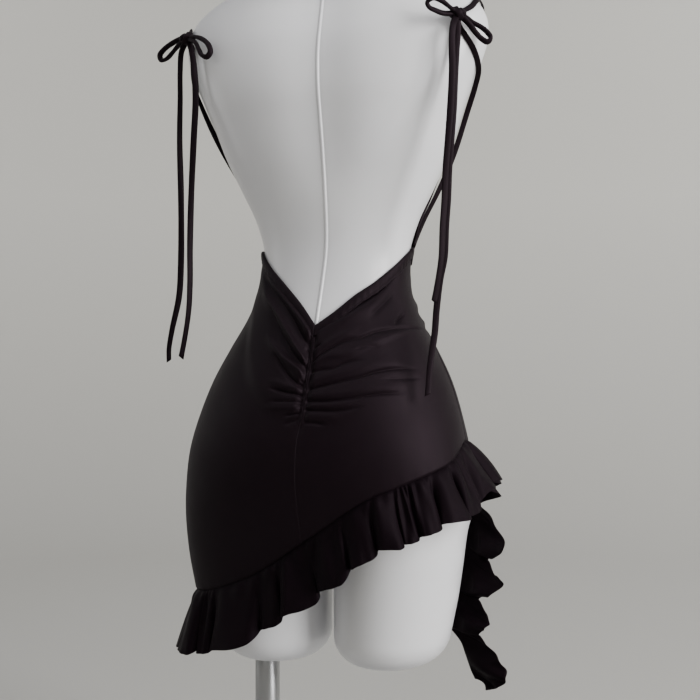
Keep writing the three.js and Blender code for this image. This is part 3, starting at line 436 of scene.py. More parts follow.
# Raised folds: path as degrees from the seam and height, then how high it stands, its width above
# and below, and whether it fades in.
BACK_RIDGES = {
    "left": [
        ([(0.2, 655), (8.2, 674), (21.5, 697), (52.8, 742), (60, 750)], 4.8, 5, 7, 0),
        ([(0.2, 621), (4.2, 631), (12.2, 652), (29, 687), (40.8, 704), (52, 718)], 6.2, 5, 8, 0),
        ([(0.2, 606), (4.5, 615), (11.8, 626), (21.2, 642), (30, 660)], 4.4, 4, 6, 0),
        ([(0.2, 590), (9, 596), (20, 604)], 1.2, 4, 3, 0),
        ([(0.2, 571), (8, 571), (20, 572)], 0.9, 3, 3, 0),
    ],
    "right": [
        ([(0.5, 655), (8, 668), (24, 680), (40, 690), (60, 708)], 1.6, 7, 8, 0),
        ([(0.5, 634), (8, 645), (17, 655), (30, 663)], 1.6, 5, 5, 0),
        ([(0.5, 620), (8, 629), (20, 634), (40, 650), (76, 670)], 1.8, 7, 4, 0),
        ([(0.5, 600), (14, 609), (34, 621), (56, 623)], 1.3, 8, 4, 0),
        ([(0.5, 584), (14, 587), (34, 594), (56, 595)], 1.1, 7, 3, 0),
        ([(0.5, 573), (14, 574), (26, 578)], 0.9, 4, 3, 0),
        ([(0.5, 561), (10, 561), (20, 560)], 1.0, 4, 4, 0),
    ],
}
# Creases: path as degrees from the seam and height, then depth, width and whether it fades in.
BACK_CREASES = {
    "left": [
        ([(0.5, 665), (10.5, 684), (21, 701), (46, 734)], 2.6, 2.2, 0),
        ([(0.2, 642), (3.8, 648), (12.2, 670), (23, 692), (32.5, 705), (50.2, 726), (58, 736)], 4.2, 6.0, 0),
        ([(0.2, 614), (0.8, 616), (6.5, 628), (15, 648), (33.8, 691), (39.2, 699), (46, 706)], 4.6, 6.0, 0),
        ([(0.2, 593), (7.5, 605), (17.5, 630), (24, 646)], 3.8, 3.2, 0),
        ([(0.5, 585), (9, 589), (18.5, 594)], 3.2, 1.7, 0),
        ([(0.5, 578), (7.5, 578), (17.5, 578)], 1.8, 1.5, 0),
        ([(0.5, 574), (4.2, 574)], 1.6, 1.2, 0),
        ([(0.5, 566), (8.5, 562)], 2.6, 1.6, 0),
        ([(0.5, 560), (7.5, 552)], 2.8, 2.0, 0),
        ([(0.5, 632), (3.5, 641)], 1.6, 1.6, 0),
        ([(0.5, 600), (3.5, 603)], 1.6, 1.4, 0),
    ],
    "right": [
        ([(5, 664), (16, 677), (23.8, 687), (34.5, 698), (47, 710), (54, 718), (66.5, 730)], 2.6, 1.9, 1),
        ([(0.7, 622), (4.8, 632), (8.8, 638), (16, 647), (28, 653), (37, 659), (47, 662), (90, 664)],
         3.0, 1.8, 0),
        ([(0.7, 639), (6.2, 647)], 2.2, 1.5, 0),
        ([(1, 612), (6, 615), (12, 617), (16.5, 622), (30, 626)], 3.0, 1.7, 0),
        ([(0.7, 592), (9.8, 598), (16, 602), (25, 607), (32, 612), (39, 615), (62, 615)], 3.6, 1.6, 0),
        ([(34, 604), (60, 605)], 1.4, 1.6, 1),
        ([(0.7, 579), (12.5, 580), (23.8, 584), (31.8, 587), (50, 588)], 3.8, 1.6, 0),
        ([(0.7, 569), (16, 569), (28, 574)], 3.4, 1.6, 0),
        ([(0.7, 555), (6, 555), (12, 552)], 2.8, 1.8, 0),
        ([(22, 637), (31.8, 642), (40, 642)], 1.8, 2.4, 1),
        ([(34, 676), (48.8, 694), (64, 712)], 2.2, 4.5, 1),
        ([(52, 668), (67, 684)], 2.6, 2.0, 1),
    ],
}
# The loose, gathered zone: its height, then its lower limit as degrees from the seam and height.
BACK_PUFF = {
    "left": (3.8, [(0, 562), (20, 584), (50, 672), (93, 720)]),
    "right": (2.6, [(0, 560), (30, 574), (60, 596), (93, 640)]),
}


def fade_along(path, at, fade_in):
    first, last = path[0][0], path[-1][0]
    span = last - first
    shown = 1 - smooth(first + 0.6 * span, last, at)
    if fade_in:
        shown = shown * smooth(first, first + 0.3 * span, at)
    return shown


def fold_relief(at, z, ridges, creases):
    lift = 0 * z
    for path, height, above, below, fade_in in ridges:
        offset = z - read_table(path, at)[..., 0]
        side = np.where(offset > 0, offset / above, -offset / below)
        lift = lift + height * np.exp(-(side**2)) * fade_along(path, at, fade_in)
    for path, depth, width, fade_in in creases:
        offset = np.abs(z - read_table(path, at)[..., 0]) / width
        lift = lift - depth * np.exp(-(offset**1.4)) * fade_along(path, at, fade_in)
    return lift


def spans(*parts):
    return np.concatenate([np.linspace(*part) for part in parts])


def slow_drape(z, degrees, seed):
    a = np.radians(degrees)
    return 0.45 * np.sin(z / 47 + 3.1 * a + seed) + 0.3 * np.sin(z / 23 - 4.7 * a + 2.3 * seed)


def path_length(points, axis):
    steps = np.linalg.norm(np.diff(points, axis=axis), axis=-1)
    start = np.zeros_like(np.take(steps, [0], axis=axis))
    return np.cumsum(np.concatenate([start, steps], axis=axis), axis=axis)


def cloth_piece(name, points, material, wall=CLOTH_WALL, outward=True):
    rows, columns = points.shape[:2]
    uv = np.stack([path_length(points, 1), path_length(points, 0)], -1).reshape(-1, 2)
    faces = grid_faces(rows, columns)
    if not outward:
        faces = [face[::-1] for face in faces]
    piece = make_piece(name, points.reshape(-1, 3), faces, material, uv)
    thick = piece.modifiers.new("cloth", "SOLIDIFY")
    thick.thickness = wall / 1000
    thick.offset = -1
    return piece


def knit_group():
    group, source, sink = new_group(
        "fine_jersey", {"Wale": "Float", "Slub": "Float"}, {"Height": "Float", "Tone": "Float"}
    )
    place = add_node(group, "TexCoord")
    wale = add_node(group, "TexWave", Scale=420, Distortion=0.6, Detail=1)
    wale.bands_direction = "X"
    course = add_node(group, "TexWave", Scale=560, Distortion=1.2)
    course.bands_direction = "Y"
    slub = add_node(group, "TexNoise", Scale=30, Detail=5)
    rib, stitch, uneven = (add_node(group, "Math") for _ in range(3))
    rib.operation = uneven.operation = "MULTIPLY"
    stitch.operation = "MULTIPLY_ADD"
    stitch.inputs[1].default_value = 0.35
    join(
        group,
        (place, "UV", wale, "Vector"), (place, "UV", course, "Vector"), (place, "UV", slub, "Vector"),
        (wale, "Fac", rib, 0), (source, "Wale", rib, 1),
        (course, "Fac", stitch, 0), (rib, 0, stitch, 2), (stitch, 0, sink, "Height"),
        (slub, "Fac", uneven, 0), (source, "Slub", uneven, 1), (uneven, 0, sink, "Tone"),
    )
    return group


jersey_knit = knit_group()


def jersey_material(name, dark, light, roughness, sheen, wale, slub, gleam):
    material, shader = new_material(
        name, dark, roughness, Sheen_Weight=sheen, Sheen_Roughness=0.42,
        Sheen_Tint=(0.9, 0.84, 0.9, 1), Specular_IOR_Level=gleam, Specular_Tint=(1, 0.76, 0.91, 1),
    )
    knit = add_group(material, jersey_knit, Wale=wale, Slub=slub)
    tone = two_tones(material, dark, light)
    rough = add_node(material, "MapRange", To_Min=roughness - 0.05, To_Max=roughness + 0.12)
    bump = add_node(material, "Bump", Strength=0.22, Distance=0.00025)
    join(
        material,
        (knit, "Tone", tone, "Fac"), (tone, "Color", shader, "Base Color"),
        (knit, "Tone", rough, "Value"), (rough, "Result", shader, "Roughness"),
        (knit, "Height", bump, "Height"), (bump, "Normal", shader, "Normal"),
    )
    return material


jersey = jersey_material(
    "black_jersey", (0.003, 0.0013, 0.0023), (0.005, 0.0025, 0.0039), 0.54, 0.02, 0.9, 0.8, 0.13
)

back_at = spans((0, 3, 11), (3.5, 18, 25), (18.9, 50, 32), (51.2, 93, 32))
back_down = spans((0, 0.64, 196), (0.65, 0.975, 38), (0.98, 1, 7))
for word, turn in (("left", -1), ("right", 1)):
    edge = read_table(BACK_V[word], back_at)[:, 0]
    hem = read_table(HEM, 90 + turn * back_at)[:, 0] + 0.2
    z = edge[None, :] + (hem - edge)[None, :] * back_down[:, None]
    at = np.broadcast_to(back_at[None, :], z.shape)
    degrees = 90 + turn * at
    below = edge[None, :] - z
    height, low_line = BACK_PUFF[word]
    puffed_from = read_table(low_line, at)[..., 0]
    puff = height * smooth(-16, 14, z - puffed_from) * smooth(5, 24, below) * (1 - smooth(50, 92, at))
    folds = fold_relief(at, z, BACK_RIDGES[word], BACK_CREASES[word]) * smooth(3, 14, below)
    relief = puff * smooth(CHANNEL * 0.8, CHANNEL * 3.6, at)
    relief = relief + folds * (0.12 + 0.88 * smooth(CHANNEL * 0.7, CHANNEL * 2.3, at))
    relief = relief + slow_drape(z, degrees, 1.0 + turn) * smooth(10, 60, below) * smooth(2, 14, at)
    casing = smooth(GATHER_END, GATHER_END + 8, z) * smooth(0, 6, below)
    wrinkle = 0.16 * np.sin(z * 0.61 + turn) + 0.1 * np.sin(z * 1.13 + 2 * turn)
    relief = relief + casing * (CASING_HEIGHT + wrinkle) * (1 - smooth(CHANNEL * 0.3, CHANNEL * 1.2, at))
    relief = relief - casing * 0.2 * np.exp(-(((at - CHANNEL * 1.3) / 0.5) ** 2))
    tuck = np.exp(-(((z - GATHER_END - 1) / 8) ** 2)) * np.exp(-((at / 2.0) ** 2))
    relief = relief - TUCK_DEPTH * tuck - (SEAM_GROOVE + 0.16 * casing) * (1 - smooth(0, 0.5, at))
    relief = relief - HEM_TURN * (1 - smooth(0, 3, z - hem[None, :]))
    relief = relief + 0.35 * np.sin(degrees * 1.9 + 2 * np.sin(degrees)) * np.exp(-(z - hem[None, :]) / 7)
    lift = np.maximum(CLOTH_LIFT + relief, LEAST_LIFT + 0.25 * np.exp(np.minimum(relief, 0) / 2))
    points = cover(z, degrees, lift)
    points[:, 0, 0] = figure(z[:, 0], 90.0)[:, 0] + turn * 0.08
    panel = cloth_piece(f"back_panel_{word}", points, jersey, outward=turn < 0)
    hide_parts(f"back_{word}")

# The front of the dress: one jersey panel from side seam to side seam, with a dipped neckline
# between the strap points and the armholes cut away. It is held smooth by the stretch.
FRONT_CENTRE, SIDE_SEAM, FRONT_LEAST_LIFT = 270, 87, 1.5
FRONT_TOP = [
    (0, 893), (9, 896), (19, 906), (29, 922), (37.5, 938), (48, 905), (57, 864), (64, 820),
    (70, 786), (76, 769), (87, 765),
]
# Soft stretch lines, as the folds above, with degrees from the centre front.
FRONT_RIDGES = [
    ([(12, 752), (40, 742), (87, 716)], 1.3, 7, 9, 1), ([(20, 722), (50, 706), (87, 676)], 1.2, 8, 9, 1),
    ([(8, 690), (44, 672), (87, 640)], 0.9, 9, 10, 1), ([(30, 800), (52, 792), (72, 778)], 1.1, 6, 7, 1),
    ([(28, 838), (44, 842), (60, 850)], 1.0, 6, 8, 1), ([(20, 560), (50, 540), (87, 520)], 0.7, 12, 12, 1),
]
FRONT_CREASES = [
    ([(16, 738), (42, 726), (87, 698)], 0.9, 3.5, 1), ([(24, 706), (52, 690), (87, 660)], 0.8, 3.5, 1),
    ([(36, 812), (50, 806), (70, 796)], 0.7, 3.0, 1),
]
# The folds that reach round from the back at the high side.
SIDE_RIDGES = [([(48, 676), (70, 674), (87, 672)], 2.4, 5, 4, 1), ([(56, 700), (87, 692)], 1.4, 6, 5, 1)]
SIDE_CREASES = [([(50, 668), (70, 666), (87, 664)], 2.2, 2.0, 1), ([(58, 690), (87, 683)], 1.4, 2.4, 1)]


def straight_table(rows, at):
    return np.interp(at, [row[0] for row in rows], [row[1] for row in rows])


front_at = spans((0, 37.5, 27), (38.6, SIDE_SEAM, 38))
front_at = np.concatenate([-front_at[:0:-1], front_at])
front_down = spans((0, 0.1, 16), (0.11, 0.98, 112), (0.984, 1, 6))
edge = straight_table(FRONT_TOP, np.abs(front_at))
hem = read_table(HEM, FRONT_CENTRE + front_at)[:, 0] + 0.2
z = edge[None, :] + (hem - edge)[None, :] * front_down[:, None]
at = np.broadcast_to(front_at[None, :], z.shape)
degrees = FRONT_CENTRE + at
below = edge[None, :] - z
relief = fold_relief(np.abs(at), z + 5 * np.sign(at), FRONT_RIDGES, FRONT_CREASES)
relief = (relief + fold_relief(-at, z, SIDE_RIDGES, SIDE_CREASES)) * smooth(4, 20, below)
relief = relief + slow_drape(z, degrees, 4.0) * smooth(10, 60, below)
relief = relief - 0.6 * (1 - smooth(0, 1.2, SIDE_SEAM - np.abs(at)))
relief = relief - HEM_TURN * (1 - smooth(0, 3, z - hem[None, :]))
points = cover(z, degrees, np.maximum(CLOTH_LIFT + relief, FRONT_LEAST_LIFT))
front_panel = cloth_piece("front_panel", points, jersey, outward=False)
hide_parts("front")

# The edge bands: strips of the same jersey folded over each raw top edge and held by one row of
# small stitches near their lower fold. They lie flat and waver a little where they stretch.
BAND_SECTION = [
    # distance down from the edge, lift off the figure
    (10.6, 2.9), (11.3, 3.1), (11.5, 3.6), (10.9, 4.05), (10.0, 4.1), (9.3, 3.75), (8.6, 4.1),
    (7.4, 4.4), (5.4, 4.55), (3.2, 4.55), (1.6, 4.4), (0.5, 4.0), (-0.2, 3.3), (-0.4, 2.5),
    (-0.2, 1.7), (0.4, 1.15), (1.6, 0.95), (5, 0.95), (9.5, 0.95),
]
STITCH_LENGTH, STITCH_STEP, STITCH_RADIUS, STITCH_SIDES = 2.5, 3.1, 0.26, 6
STITCH_DOWN, STITCH_LIFT = 9.3, 3.95
BAND_WALL = 0.45


def band_drop(edge_at, degrees):
    z = edge_at(degrees)
    step = np.linalg.norm(figure(z, degrees + 0.5) - figure(z, degrees - 0.5), axis=-1)
    steep = (edge_at(degrees + 0.5) - edge_at(degrees - 0.5)) / step
    return np.minimum(np.hypot(1, steep), 2.6)


def add_band(name, node, start, finish, edge_at):
    degrees = np.linspace(start, finish, max(24, int(abs(finish - start) * 1.6)))
    drop = band_drop(edge_at, degrees)
    drop = np.convolve(np.pad(drop, 2, mode="edge"), np.ones(5) / 5, mode="valid")
    down = np.array([d for d, _ in BAND_SECTION])
    lift = np.array([h for _, h in BAND_SECTION])
    waver = 0.35 * np.sin(degrees * 0.71) + 0.25 * np.sin(degrees * 1.63 + 1)
    z = edge_at(degrees)[:, None] - drop[:, None] * (down[None, :] + waver[:, None] * smooth(6, 11, down))
    off = lift[None, :] + 0.16 * np.sin(degrees * 1.17 + 2)[:, None] * smooth(2, 6, down)[None, :]
    points = cover(z, np.broadcast_to(degrees[:, None], z.shape), off)
    band = cloth_piece(name, points, jersey, BAND_WALL)
    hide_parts(node)
    line = edge_at(degrees) - drop * (STITCH_DOWN + waver * 0.6)
    return cover(line, degrees, STITCH_LIFT)


def points_at(marks, key, points):
    return np.stack([np.interp(marks, key, points[:, k]) for k in range(3)], -1)


def stitch_rows(path):
    walked = path_length(path, 0)
    angle = np.arange(STITCH_SIDES) * 2 * math.pi / STITCH_SIDES
    points, faces = [], []
    for start in np.arange(1.2, walked[-1] - STITCH_LENGTH - 1, STITCH_STEP):
        a, b = points_at(start, walked, path), points_at(start + STITCH_LENGTH, walked, path)
        along = unit(b - a)
        side = unit(np.cross(along, (0.3, 0.2, 0.93)))
        up = np.cross(along, side)
        base = len(points)
        for share, swell in ((0, 0.35), (0.18, 1), (0.82, 1), (1, 0.35)):
            centre = a + (b - a) * share
            for t in angle:
                points.append(centre + STITCH_RADIUS * swell * (side * math.cos(t) + up * math.sin(t)))
        faces += [[base + v for v in face] for face in grid_faces(4, STITCH_SIDES, True)]
        faces.append([base + v for v in range(STITCH_SIDES - 1, -1, -1)])
        faces.append([len(points) - STITCH_SIDES + v for v in range(STITCH_SIDES)])
    return points, faces


back_left_edge = lambda d: read_table(BACK_V["left"], 90 - d)[..., 0]
back_right_edge = lambda d: read_table(BACK_V["right"], d - 90)[..., 0]
front_edge_at = lambda d: straight_table(FRONT_TOP, np.abs(d - FRONT_CENTRE))
thread = jersey_material(
    "black_thread", (0.012, 0.011, 0.012), (0.02, 0.018, 0.02), 0.45, 0.1, 0.3, 0.8, 0.17
)
stitch_points, stitch_faces = [], []
for name, node, start, finish, edge_at, length in (
    ("band_v_left", "band_back_left", -2.6, 89.92, back_left_edge, 0.235),
    ("band_v_right", "band_back_right", 90.08, 182.6, back_right_edge, 0.235),
    ("band_armhole_of_right", "band_armhole_right", 183.3, 232.2, front_edge_at, 0.225),
    ("band_armhole_of_left", "band_armhole_left", 307.8, 356.7, front_edge_at, 0.225),
    ("band_neck", "band_neckline", 232.8, 307.2, front_edge_at, 0.25),
):
    line = add_band(name, node, start, finish, edge_at)
    points, faces = stitch_rows(line)
    stitch_faces += [[len(stitch_points) + v for v in face] for face in faces]
    stitch_points += points
stitches = make_piece("band_stitches", stitch_points, stitch_faces, thread)

# The hem ruffle: one strip of the same jersey, about twice as long as the seam it is gathered
# onto, in two lengths joined at the side seams. Its free edge is left raw and stands off in flutes.
RUFFLE_SHAPE = [
    # degrees, depth, flare, wave
    (-3, 71, 13, 5.5), (30, 71, 12, 5.5), (60, 66, 8, 5.5), (85, 57, 6, 5.5), (105, 56, 6, 5.5),
    (130, 61, 9, 6), (155, 62, 15, 6), (172, 61, 20, 6), (183, 60, 22, 6), (200, 60, 22, 6),
    (225, 63, 15, 6), (270, 63, 9, 5.5), (315, 68, 10, 5.5), (340, 71, 13, 5.5), (357, 71, 13, 5.5),
]
# Where each flute meets the next along the seam, in degrees, and how far each flute stands out.
BACK_FLUTES = [
    (-3, 1.0), (11, 1.15), (27, 1.1), (43.5, 0.55), (49.8, 1.35), (70, 0.75), (78.5, 1.2),
    (92.5, 1.1), (105.5, 1.0), (115.5, 1.1), (126, 0.6), (132, 1.0), (141.5, 1.15), (154.5, 0.9),
    (166, 1.0), (183, 1),
]
FRONT_FLUTES = [
    (183, 1.2), (196, 1.0), (206, 1.3), (219, 0.9), (230, 1.2), (243, 1.3), (256, 0.9), (266, 1.2),
    (278, 1.1), (291, 1.35), (304, 0.9), (314, 1.2), (326, 1.1), (337, 0.9), (347, 1.1), (357, 1),
]
RUFFLE_WALL = 1.1
# The ruffle and the cascade take a darker, less glossy copy of the jersey: painted shade for the shadow in
# their folds.
frill_painted_shade = jersey_material(
    "black_jersey_painted_shade", (0.0022, 0.0009, 0.0018), (0.004, 0.0019, 0.0032), 0.6, 0.0, 0.9, 0.8, 0.085
)
RUFFLE_DOWN = np.concatenate([[0, 0.012, 0.028, 0.05, 0.08], np.linspace(0.12, 0.94, 24), [0.97, 0.988, 1.0]])


def ruffle_points(flutes, per_flute, seed):
    marks = np.array([f[0] for f in flutes], float)
    stands = np.array([f[1] for f in flutes], float)
    count = (len(flutes) - 1) * per_flute
    s = np.arange(count + 1) / per_flute
    wave = np.minimum(s.astype(int), len(flutes) - 2)
    u = s - wave
    seam_degrees = marks[wave] + (marks[wave + 1] - marks[wave]) * u
    ends = smooth(0, 0.5, s) * smooth(0, 0.5, len(flutes) - 1 - s)
    s2, d2 = s[None, :], seam_degrees[None, :]
    t = RUFFLE_DOWN[:, None]
    size = read_table(RUFFLE_SHAPE, d2)
    depth, swing = size[..., 0], size[..., 2]
    slant = (read_table(HEM, d2 + 1) - read_table(HEM, d2 - 1))[..., 0]
    arc = np.linalg.norm(figure(400, d2 + 1) - figure(400, d2 - 1), axis=-1)
    lean_angle = np.arctan(slant / arc)
    shift = t * depth * np.tan(0.45 * lean_angle) / (arc / 2) * ends[None, :]
    degrees = d2 - shift
    size = read_table(RUFFLE_SHAPE, degrees)
    depth, flare = size[..., 0], size[..., 1]
    seam_z = read_table(HEM, degrees)[..., 0] - 0.2
    around = roundward(seam_z, degrees)
    normal = figure_normal(seam_z, degrees)
    step = np.linalg.norm(figure(seam_z, degrees + 1) - figure(seam_z, degrees - 1), axis=-1)
    rise = (read_table(HEM, degrees + 1) - read_table(HEM, degrees - 1))[..., 0] / step
    down = around * rise[..., None]
    down[..., 2] = -1
    down = unit(down)
    open_angle = np.arcsin(flare / depth)
    skew = 0.5 + 0.2 * np.sin(3.7 * wave + seed)
    bent = np.where(u < skew, 0.5 * u / skew, 0.5 + 0.5 * (u - skew) / (1 - skew))
    crest = np.sin(math.pi * bent) ** (1.15 + 0.3 * np.sin(2.3 * wave + seed))
    between = np.arange(len(flutes))
    valley = np.interp(s, between, 0.16 + 0.16 * np.sin(2.3 * between + seed))
    width = (marks[wave + 1] - marks[wave]) * math.pi / 180 * 150
    opening = t ** (0.8 + 0.22 * np.sin(1.9 * s2 + seed))
    out = swing * 2.8 * opening * (valley + (stands[wave] - valley) * crest)[None, :] * ends[None, :]
    pleat = 2 * math.pi * (2.6 * s2 + 0.35 * np.sin(1.7 * s2 + seed) + 0.16 * np.sin(4.1 * s2))
    reach = 0.17 + 0.1 * np.sin(2.9 * s2 + seed)
    gather = np.exp(-t / reach) * (1 - np.exp(-t / 0.05))
    out = out + gather * (4.2 + 1.2 * np.sin(1.3 * s2)) * (0.5 + 0.5 * np.sin(pleat))
    out = out + 1.8 * (1 - np.exp(-t / 0.04))
    out = out + 2.1 * np.sin(0.62 * pleat + 1) * np.sin(math.pi * t) * ends[None, :]
    out = out + 0.6 * t**3 * np.sin(2 * math.pi * (4.3 * s2 + 0.2 * np.sin(s2 * 5))) * ends[None, :]
    lean = 0.21 + 0.07 * np.sin(2.1 * s2 + seed)
    lean = -lean * width[None, :] * np.sin(2 * math.pi * u)[None, :] * t**0.9 * ends[None, :]
    uneven = 0.03 * np.sin(1.9 * s2 + seed) * t - 0.03 * (1 - crest[None, :]) * t
    run = -1.3 * np.exp(-t / 0.015) + depth * t * (1 + uneven)
    return (
        cover(seam_z, degrees, LEAST_LIFT)
        + down * (run * np.cos(open_angle))[..., None]
        + normal * (run * np.sin(open_angle) + out)[..., None]
        + around * lean[..., None]
    )


for name, node, flutes, seed, length in (
    ("hem_ruffle_back", "ruffle_back", BACK_FLUTES, 0.6, 0.92),
    ("hem_ruffle_front", "ruffle_front", FRONT_FLUTES, 2.2, 0.88),
):
    ruffle = cloth_piece(name, ruffle_points(flutes, 34, seed), frill_painted_shade, RUFFLE_WALL, outward=False)
    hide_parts(node)

# The cascade: a curved strip of jersey sewn in a line below the high hip. Cut as part of a ring,
# it falls in turns, and its free edge swings out to the side and back as it drops.
CASCADE = [
    # sewn edge x, y, z, then free edge x, y, z
    (-146.6, -79.4, 481, -150, -80, 471), (-147, -78, 467, -166, -68, 453),
    (-149, -79, 453, -186, -56, 435), (-151, -80, 439, -201, -46, 416),
    (-152, -81, 426, -210, -38, 399), (-149, -82, 411, -196, -52, 384),
    (-146, -84, 396, -180, -78, 376), (-142, -85, 382, -194, -52, 363),
    (-138, -86, 368, -207, -40, 353), (-134, -86, 354, -188, -52, 335),
    (-130, -87, 340, -168, -82, 325), (-127, -87, 326, -178, -70, 313),
    (-124, -87, 312, -188, -48, 302), (-121, -87, 300, -180, -52, 292),
    (-124, -87, 290, -172, -64, 283), (-134, -84, 280, -184, -56, 273),
    (-145, -81, 268, -198, -50, 260), (-151, -79, 255, -209, -46, 246),
    (-156, -77, 243, -209, -46, 232), (-160, -75, 233, -197, -52, 221),
    (-164, -74, 225, -182, -62, 215),
]
CASCADE_STEPS, CASCADE_ACROSS, CASCADE_WALL = 10, 20, 1.0


def outside_stub(points, side, gap):
    half, mid, back, front, square = np.moveaxis(read_table(FIGURE, points[..., 2]), -1, 0)
    centre = side * (half + STUB_GAP) / 2
    dx, dy = points[..., 0] - centre, points[..., 1] - mid
    width = (half - STUB_GAP) / 2 + gap
    depth = np.where(dy > 0, back - mid, mid - front) * STUB_SHARE + gap
    out = (np.abs(dx) / width) ** square + (np.abs(dy) / depth) ** square
    push = np.where(out < 1, out ** (-1 / square), 1)
    return np.stack([centre + dx * push, mid + dy * push, points[..., 2]], -1)


cascade_rows = np.array(CASCADE, float)
row_key = np.arange(len(CASCADE), dtype=float)
row_marks = np.linspace(0, len(CASCADE) - 1, (len(CASCADE) - 1) * CASCADE_STEPS + 1)
sewn = read_table(np.column_stack([row_key, cascade_rows[:, :3]]), row_marks)
free = read_table(np.column_stack([row_key, cascade_rows[:, 3:]]), row_marks)
across = np.linspace(0, 1, CASCADE_ACROSS)[None, :, None]
cascade_points = sewn[:, None, :] * (1 - across) + free[:, None, :] * across
cascade_normal = unit(np.cross(np.gradient(cascade_points, axis=0), np.gradient(cascade_points, axis=1)))
swell = 8.0 * np.sin(math.pi * across[..., 0]) * np.sin(row_marks * math.pi / 2.05)[:, None]
ripple = 1.8 * across[..., 0] ** 2 * np.sin(row_marks * 5.1 + 0.7 * np.sin(row_marks))[:, None]
cascade_points = cascade_points + cascade_normal * (swell + ripple)[..., None]
cascade_points = outside_stub(cascade_points, -1, 3.0)
# The cascade wears the ruffle's darker jersey, painted shade for its folds.
cascade = cloth_piece("hip_cascade", cascade_points, frill_painted_shade, CASCADE_WALL)
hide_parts("cascade")

# The straps: narrow turned tubes of jersey, pressed flat. One rises from each strap point of the
# front and one from each armhole's low end, and they meet under the bow on the shoulder.
STRAP_FRONT = [
    (938.5, 52.5, 4.6), (965, 50.5, 3.2), (995, 46, 2.6), (1022, 38, 2.6), (1042, 26, 2.6),
    (1055, 12, 2.8), (1060, -2, 2.8), (1055, -14, 2.6), (1046, -23, 2.6),
]
STRAP_SIDE = [
    (770.6, 10.5, 4.2), (778, 14, 4.4), (806, 14.5, 5.6), (837, 14, 5.8), (864, 14.5, 5.4),
    (892, 14.5, 5.0), (934, 13.5, 4.6), (961, 9, 4.2), (978, -1.5, 3.6), (995, -18, 2.8),
    (1009, -28, 2.4), (1020, -33, 2.4),
]
STRAP_FRONT_LEFT = [
    (938.5, 52.5, 4.6), (965, 50.5, 3.2), (985, 47, 2.6), (1003, 40, 2.6), (1018, 29, 2.6),
    (1030, 15, 2.8), (1039, 0, 2.8), (1045, -13, 3.0), (1046, -21, 3.4), (1041, -26, 3.4),
]
STRAP_SIDE_LEFT = [
    (770.6, 10.5, 4.2), (778, 13.5, 4.6), (806, 14, 7.4), (837, 12.5, 7.4), (864, 9, 6.4),
    (892, 2, 5.4), (916, -6, 4.8), (940, -11.5, 4.4), (961, -15.5, 4.0), (978, -20, 3.4),
    (995, -26, 2.8), (1009, -30, 2.4), (1020, -33, 2.4),
]
STRAP_TWIST, STRAP_STEPS = 1.25, 90
STRAP_WIDTH, STRAP_THICK = 7.0, 2.6
TUBE_SIDES, PATH_STEPS = 18, 1200
# The middle of each knot, and how far from it the straps and ties begin.
KNOTS = {"left": (175.6, 52, 1031), "right": (-171.9, 52, 1033)}
KNOT_REACH = 4.5


def smooth_path(nodes, count):
    nodes = np.asarray(nodes, float)
    gaps = np.sqrt(np.linalg.norm(np.diff(nodes, axis=0), axis=1))
    key = np.concatenate([[0], np.cumsum(gaps)])
    fine = read_table(np.column_stack([key, nodes]), np.linspace(0, key[-1], PATH_STEPS))
    walked = path_length(fine, 0)
    return points_at(np.linspace(0, walked[-1], count), walked, fine)


def flat_tube(path, broad, width, thick, slant=0.0):
    path = np.asarray(path, float)
    along = unit(np.gradient(path, axis=0))
    broad = np.broadcast_to(np.asarray(broad, float), path.shape)
    side = unit(broad - along * (broad * along).sum(-1, keepdims=True))
    face = np.cross(along, side)
    a = np.arange(TUBE_SIDES) * 2 * math.pi / TUBE_SIDES
    u = np.sign(np.cos(a)) * np.abs(np.cos(a)) ** 0.75 / 2
    v = np.sign(np.sin(a)) * np.abs(np.sin(a)) ** 0.9 / 2
    width = np.broadcast_to(width, len(path))[:, None, None]
    thick = np.broadcast_to(thick, len(path))[:, None, None]
    rings = (
        path[:, None]
        + side[:, None] * u[None, :, None] * width
        + face[:, None] * v[None, :, None] * thick
    )
    if slant:
        rings[-1] += along[-1] * (u * slant)[:, None]
    walked = path_length(path, 0)
    uv = np.stack(np.broadcast_arrays((a * 3)[None, :], walked[:, None]), -1).reshape(-1, 2)
    points, faces = closed_rings(rings)
    return points, faces, np.vstack([uv, uv[:1], uv[-1:]])


def wavering(count, size, seed):
    t = np.linspace(0, 1, count)
    return 1 + size * (np.sin(13 * t + seed) + 0.6 * np.sin(29 * t + 2 * seed))


def add_tube(name, path, broad, width, thick, slant=0.0):
    points, faces, uv = flat_tube(path, broad, width, thick, slant=slant)
    piece = make_piece(name, points, faces, jersey, uv)
    return piece


along_strap = np.linspace(0, 1, STRAP_STEPS)
for word, knot in KNOTS.items():
    left = word == "left"
    for part, rows in (
        ("front", STRAP_FRONT_LEFT if left else STRAP_FRONT),
        ("side", STRAP_SIDE_LEFT if left else STRAP_SIDE),
    ):
        rows = np.array(rows, float)
        degrees = -rows[:, 1] if left else 180 + rows[:, 1]
        nodes = cover(rows[:, 0], degrees, rows[:, 2])
        normals = figure_normal(rows[:, 0], degrees)
        end = np.array(knot) + unit(nodes[-1] - np.array(knot)) * KNOT_REACH
        nodes = np.vstack([nodes, end])
        normals = np.vstack([normals, normals[-1]])
        path = smooth_path(nodes, STRAP_STEPS)
        share = np.linspace(0, len(normals) - 1, STRAP_STEPS)
        normal = points_at(share, np.arange(len(normals)), normals)
        broad = unit(np.cross(np.gradient(path, axis=0), normal))
        twist = np.sin(math.pi * along_strap) ** 0.7 * (STRAP_TWIST if part == "side" else 0)
        broad = broad * np.cos(twist)[:, None] + normal * np.sin(twist)[:, None]
        narrow = 1 - 0.25 * smooth(0.9, 1, along_strap)
        strap = add_tube(
            f"strap_{part}_of_{word}", path, broad,
            STRAP_WIDTH * narrow * wavering(STRAP_STEPS, 0.02, 1.3),
            STRAP_THICK * wavering(STRAP_STEPS, 0.04, 2.1),
        )
        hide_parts(f"strap_{part}_{word}")

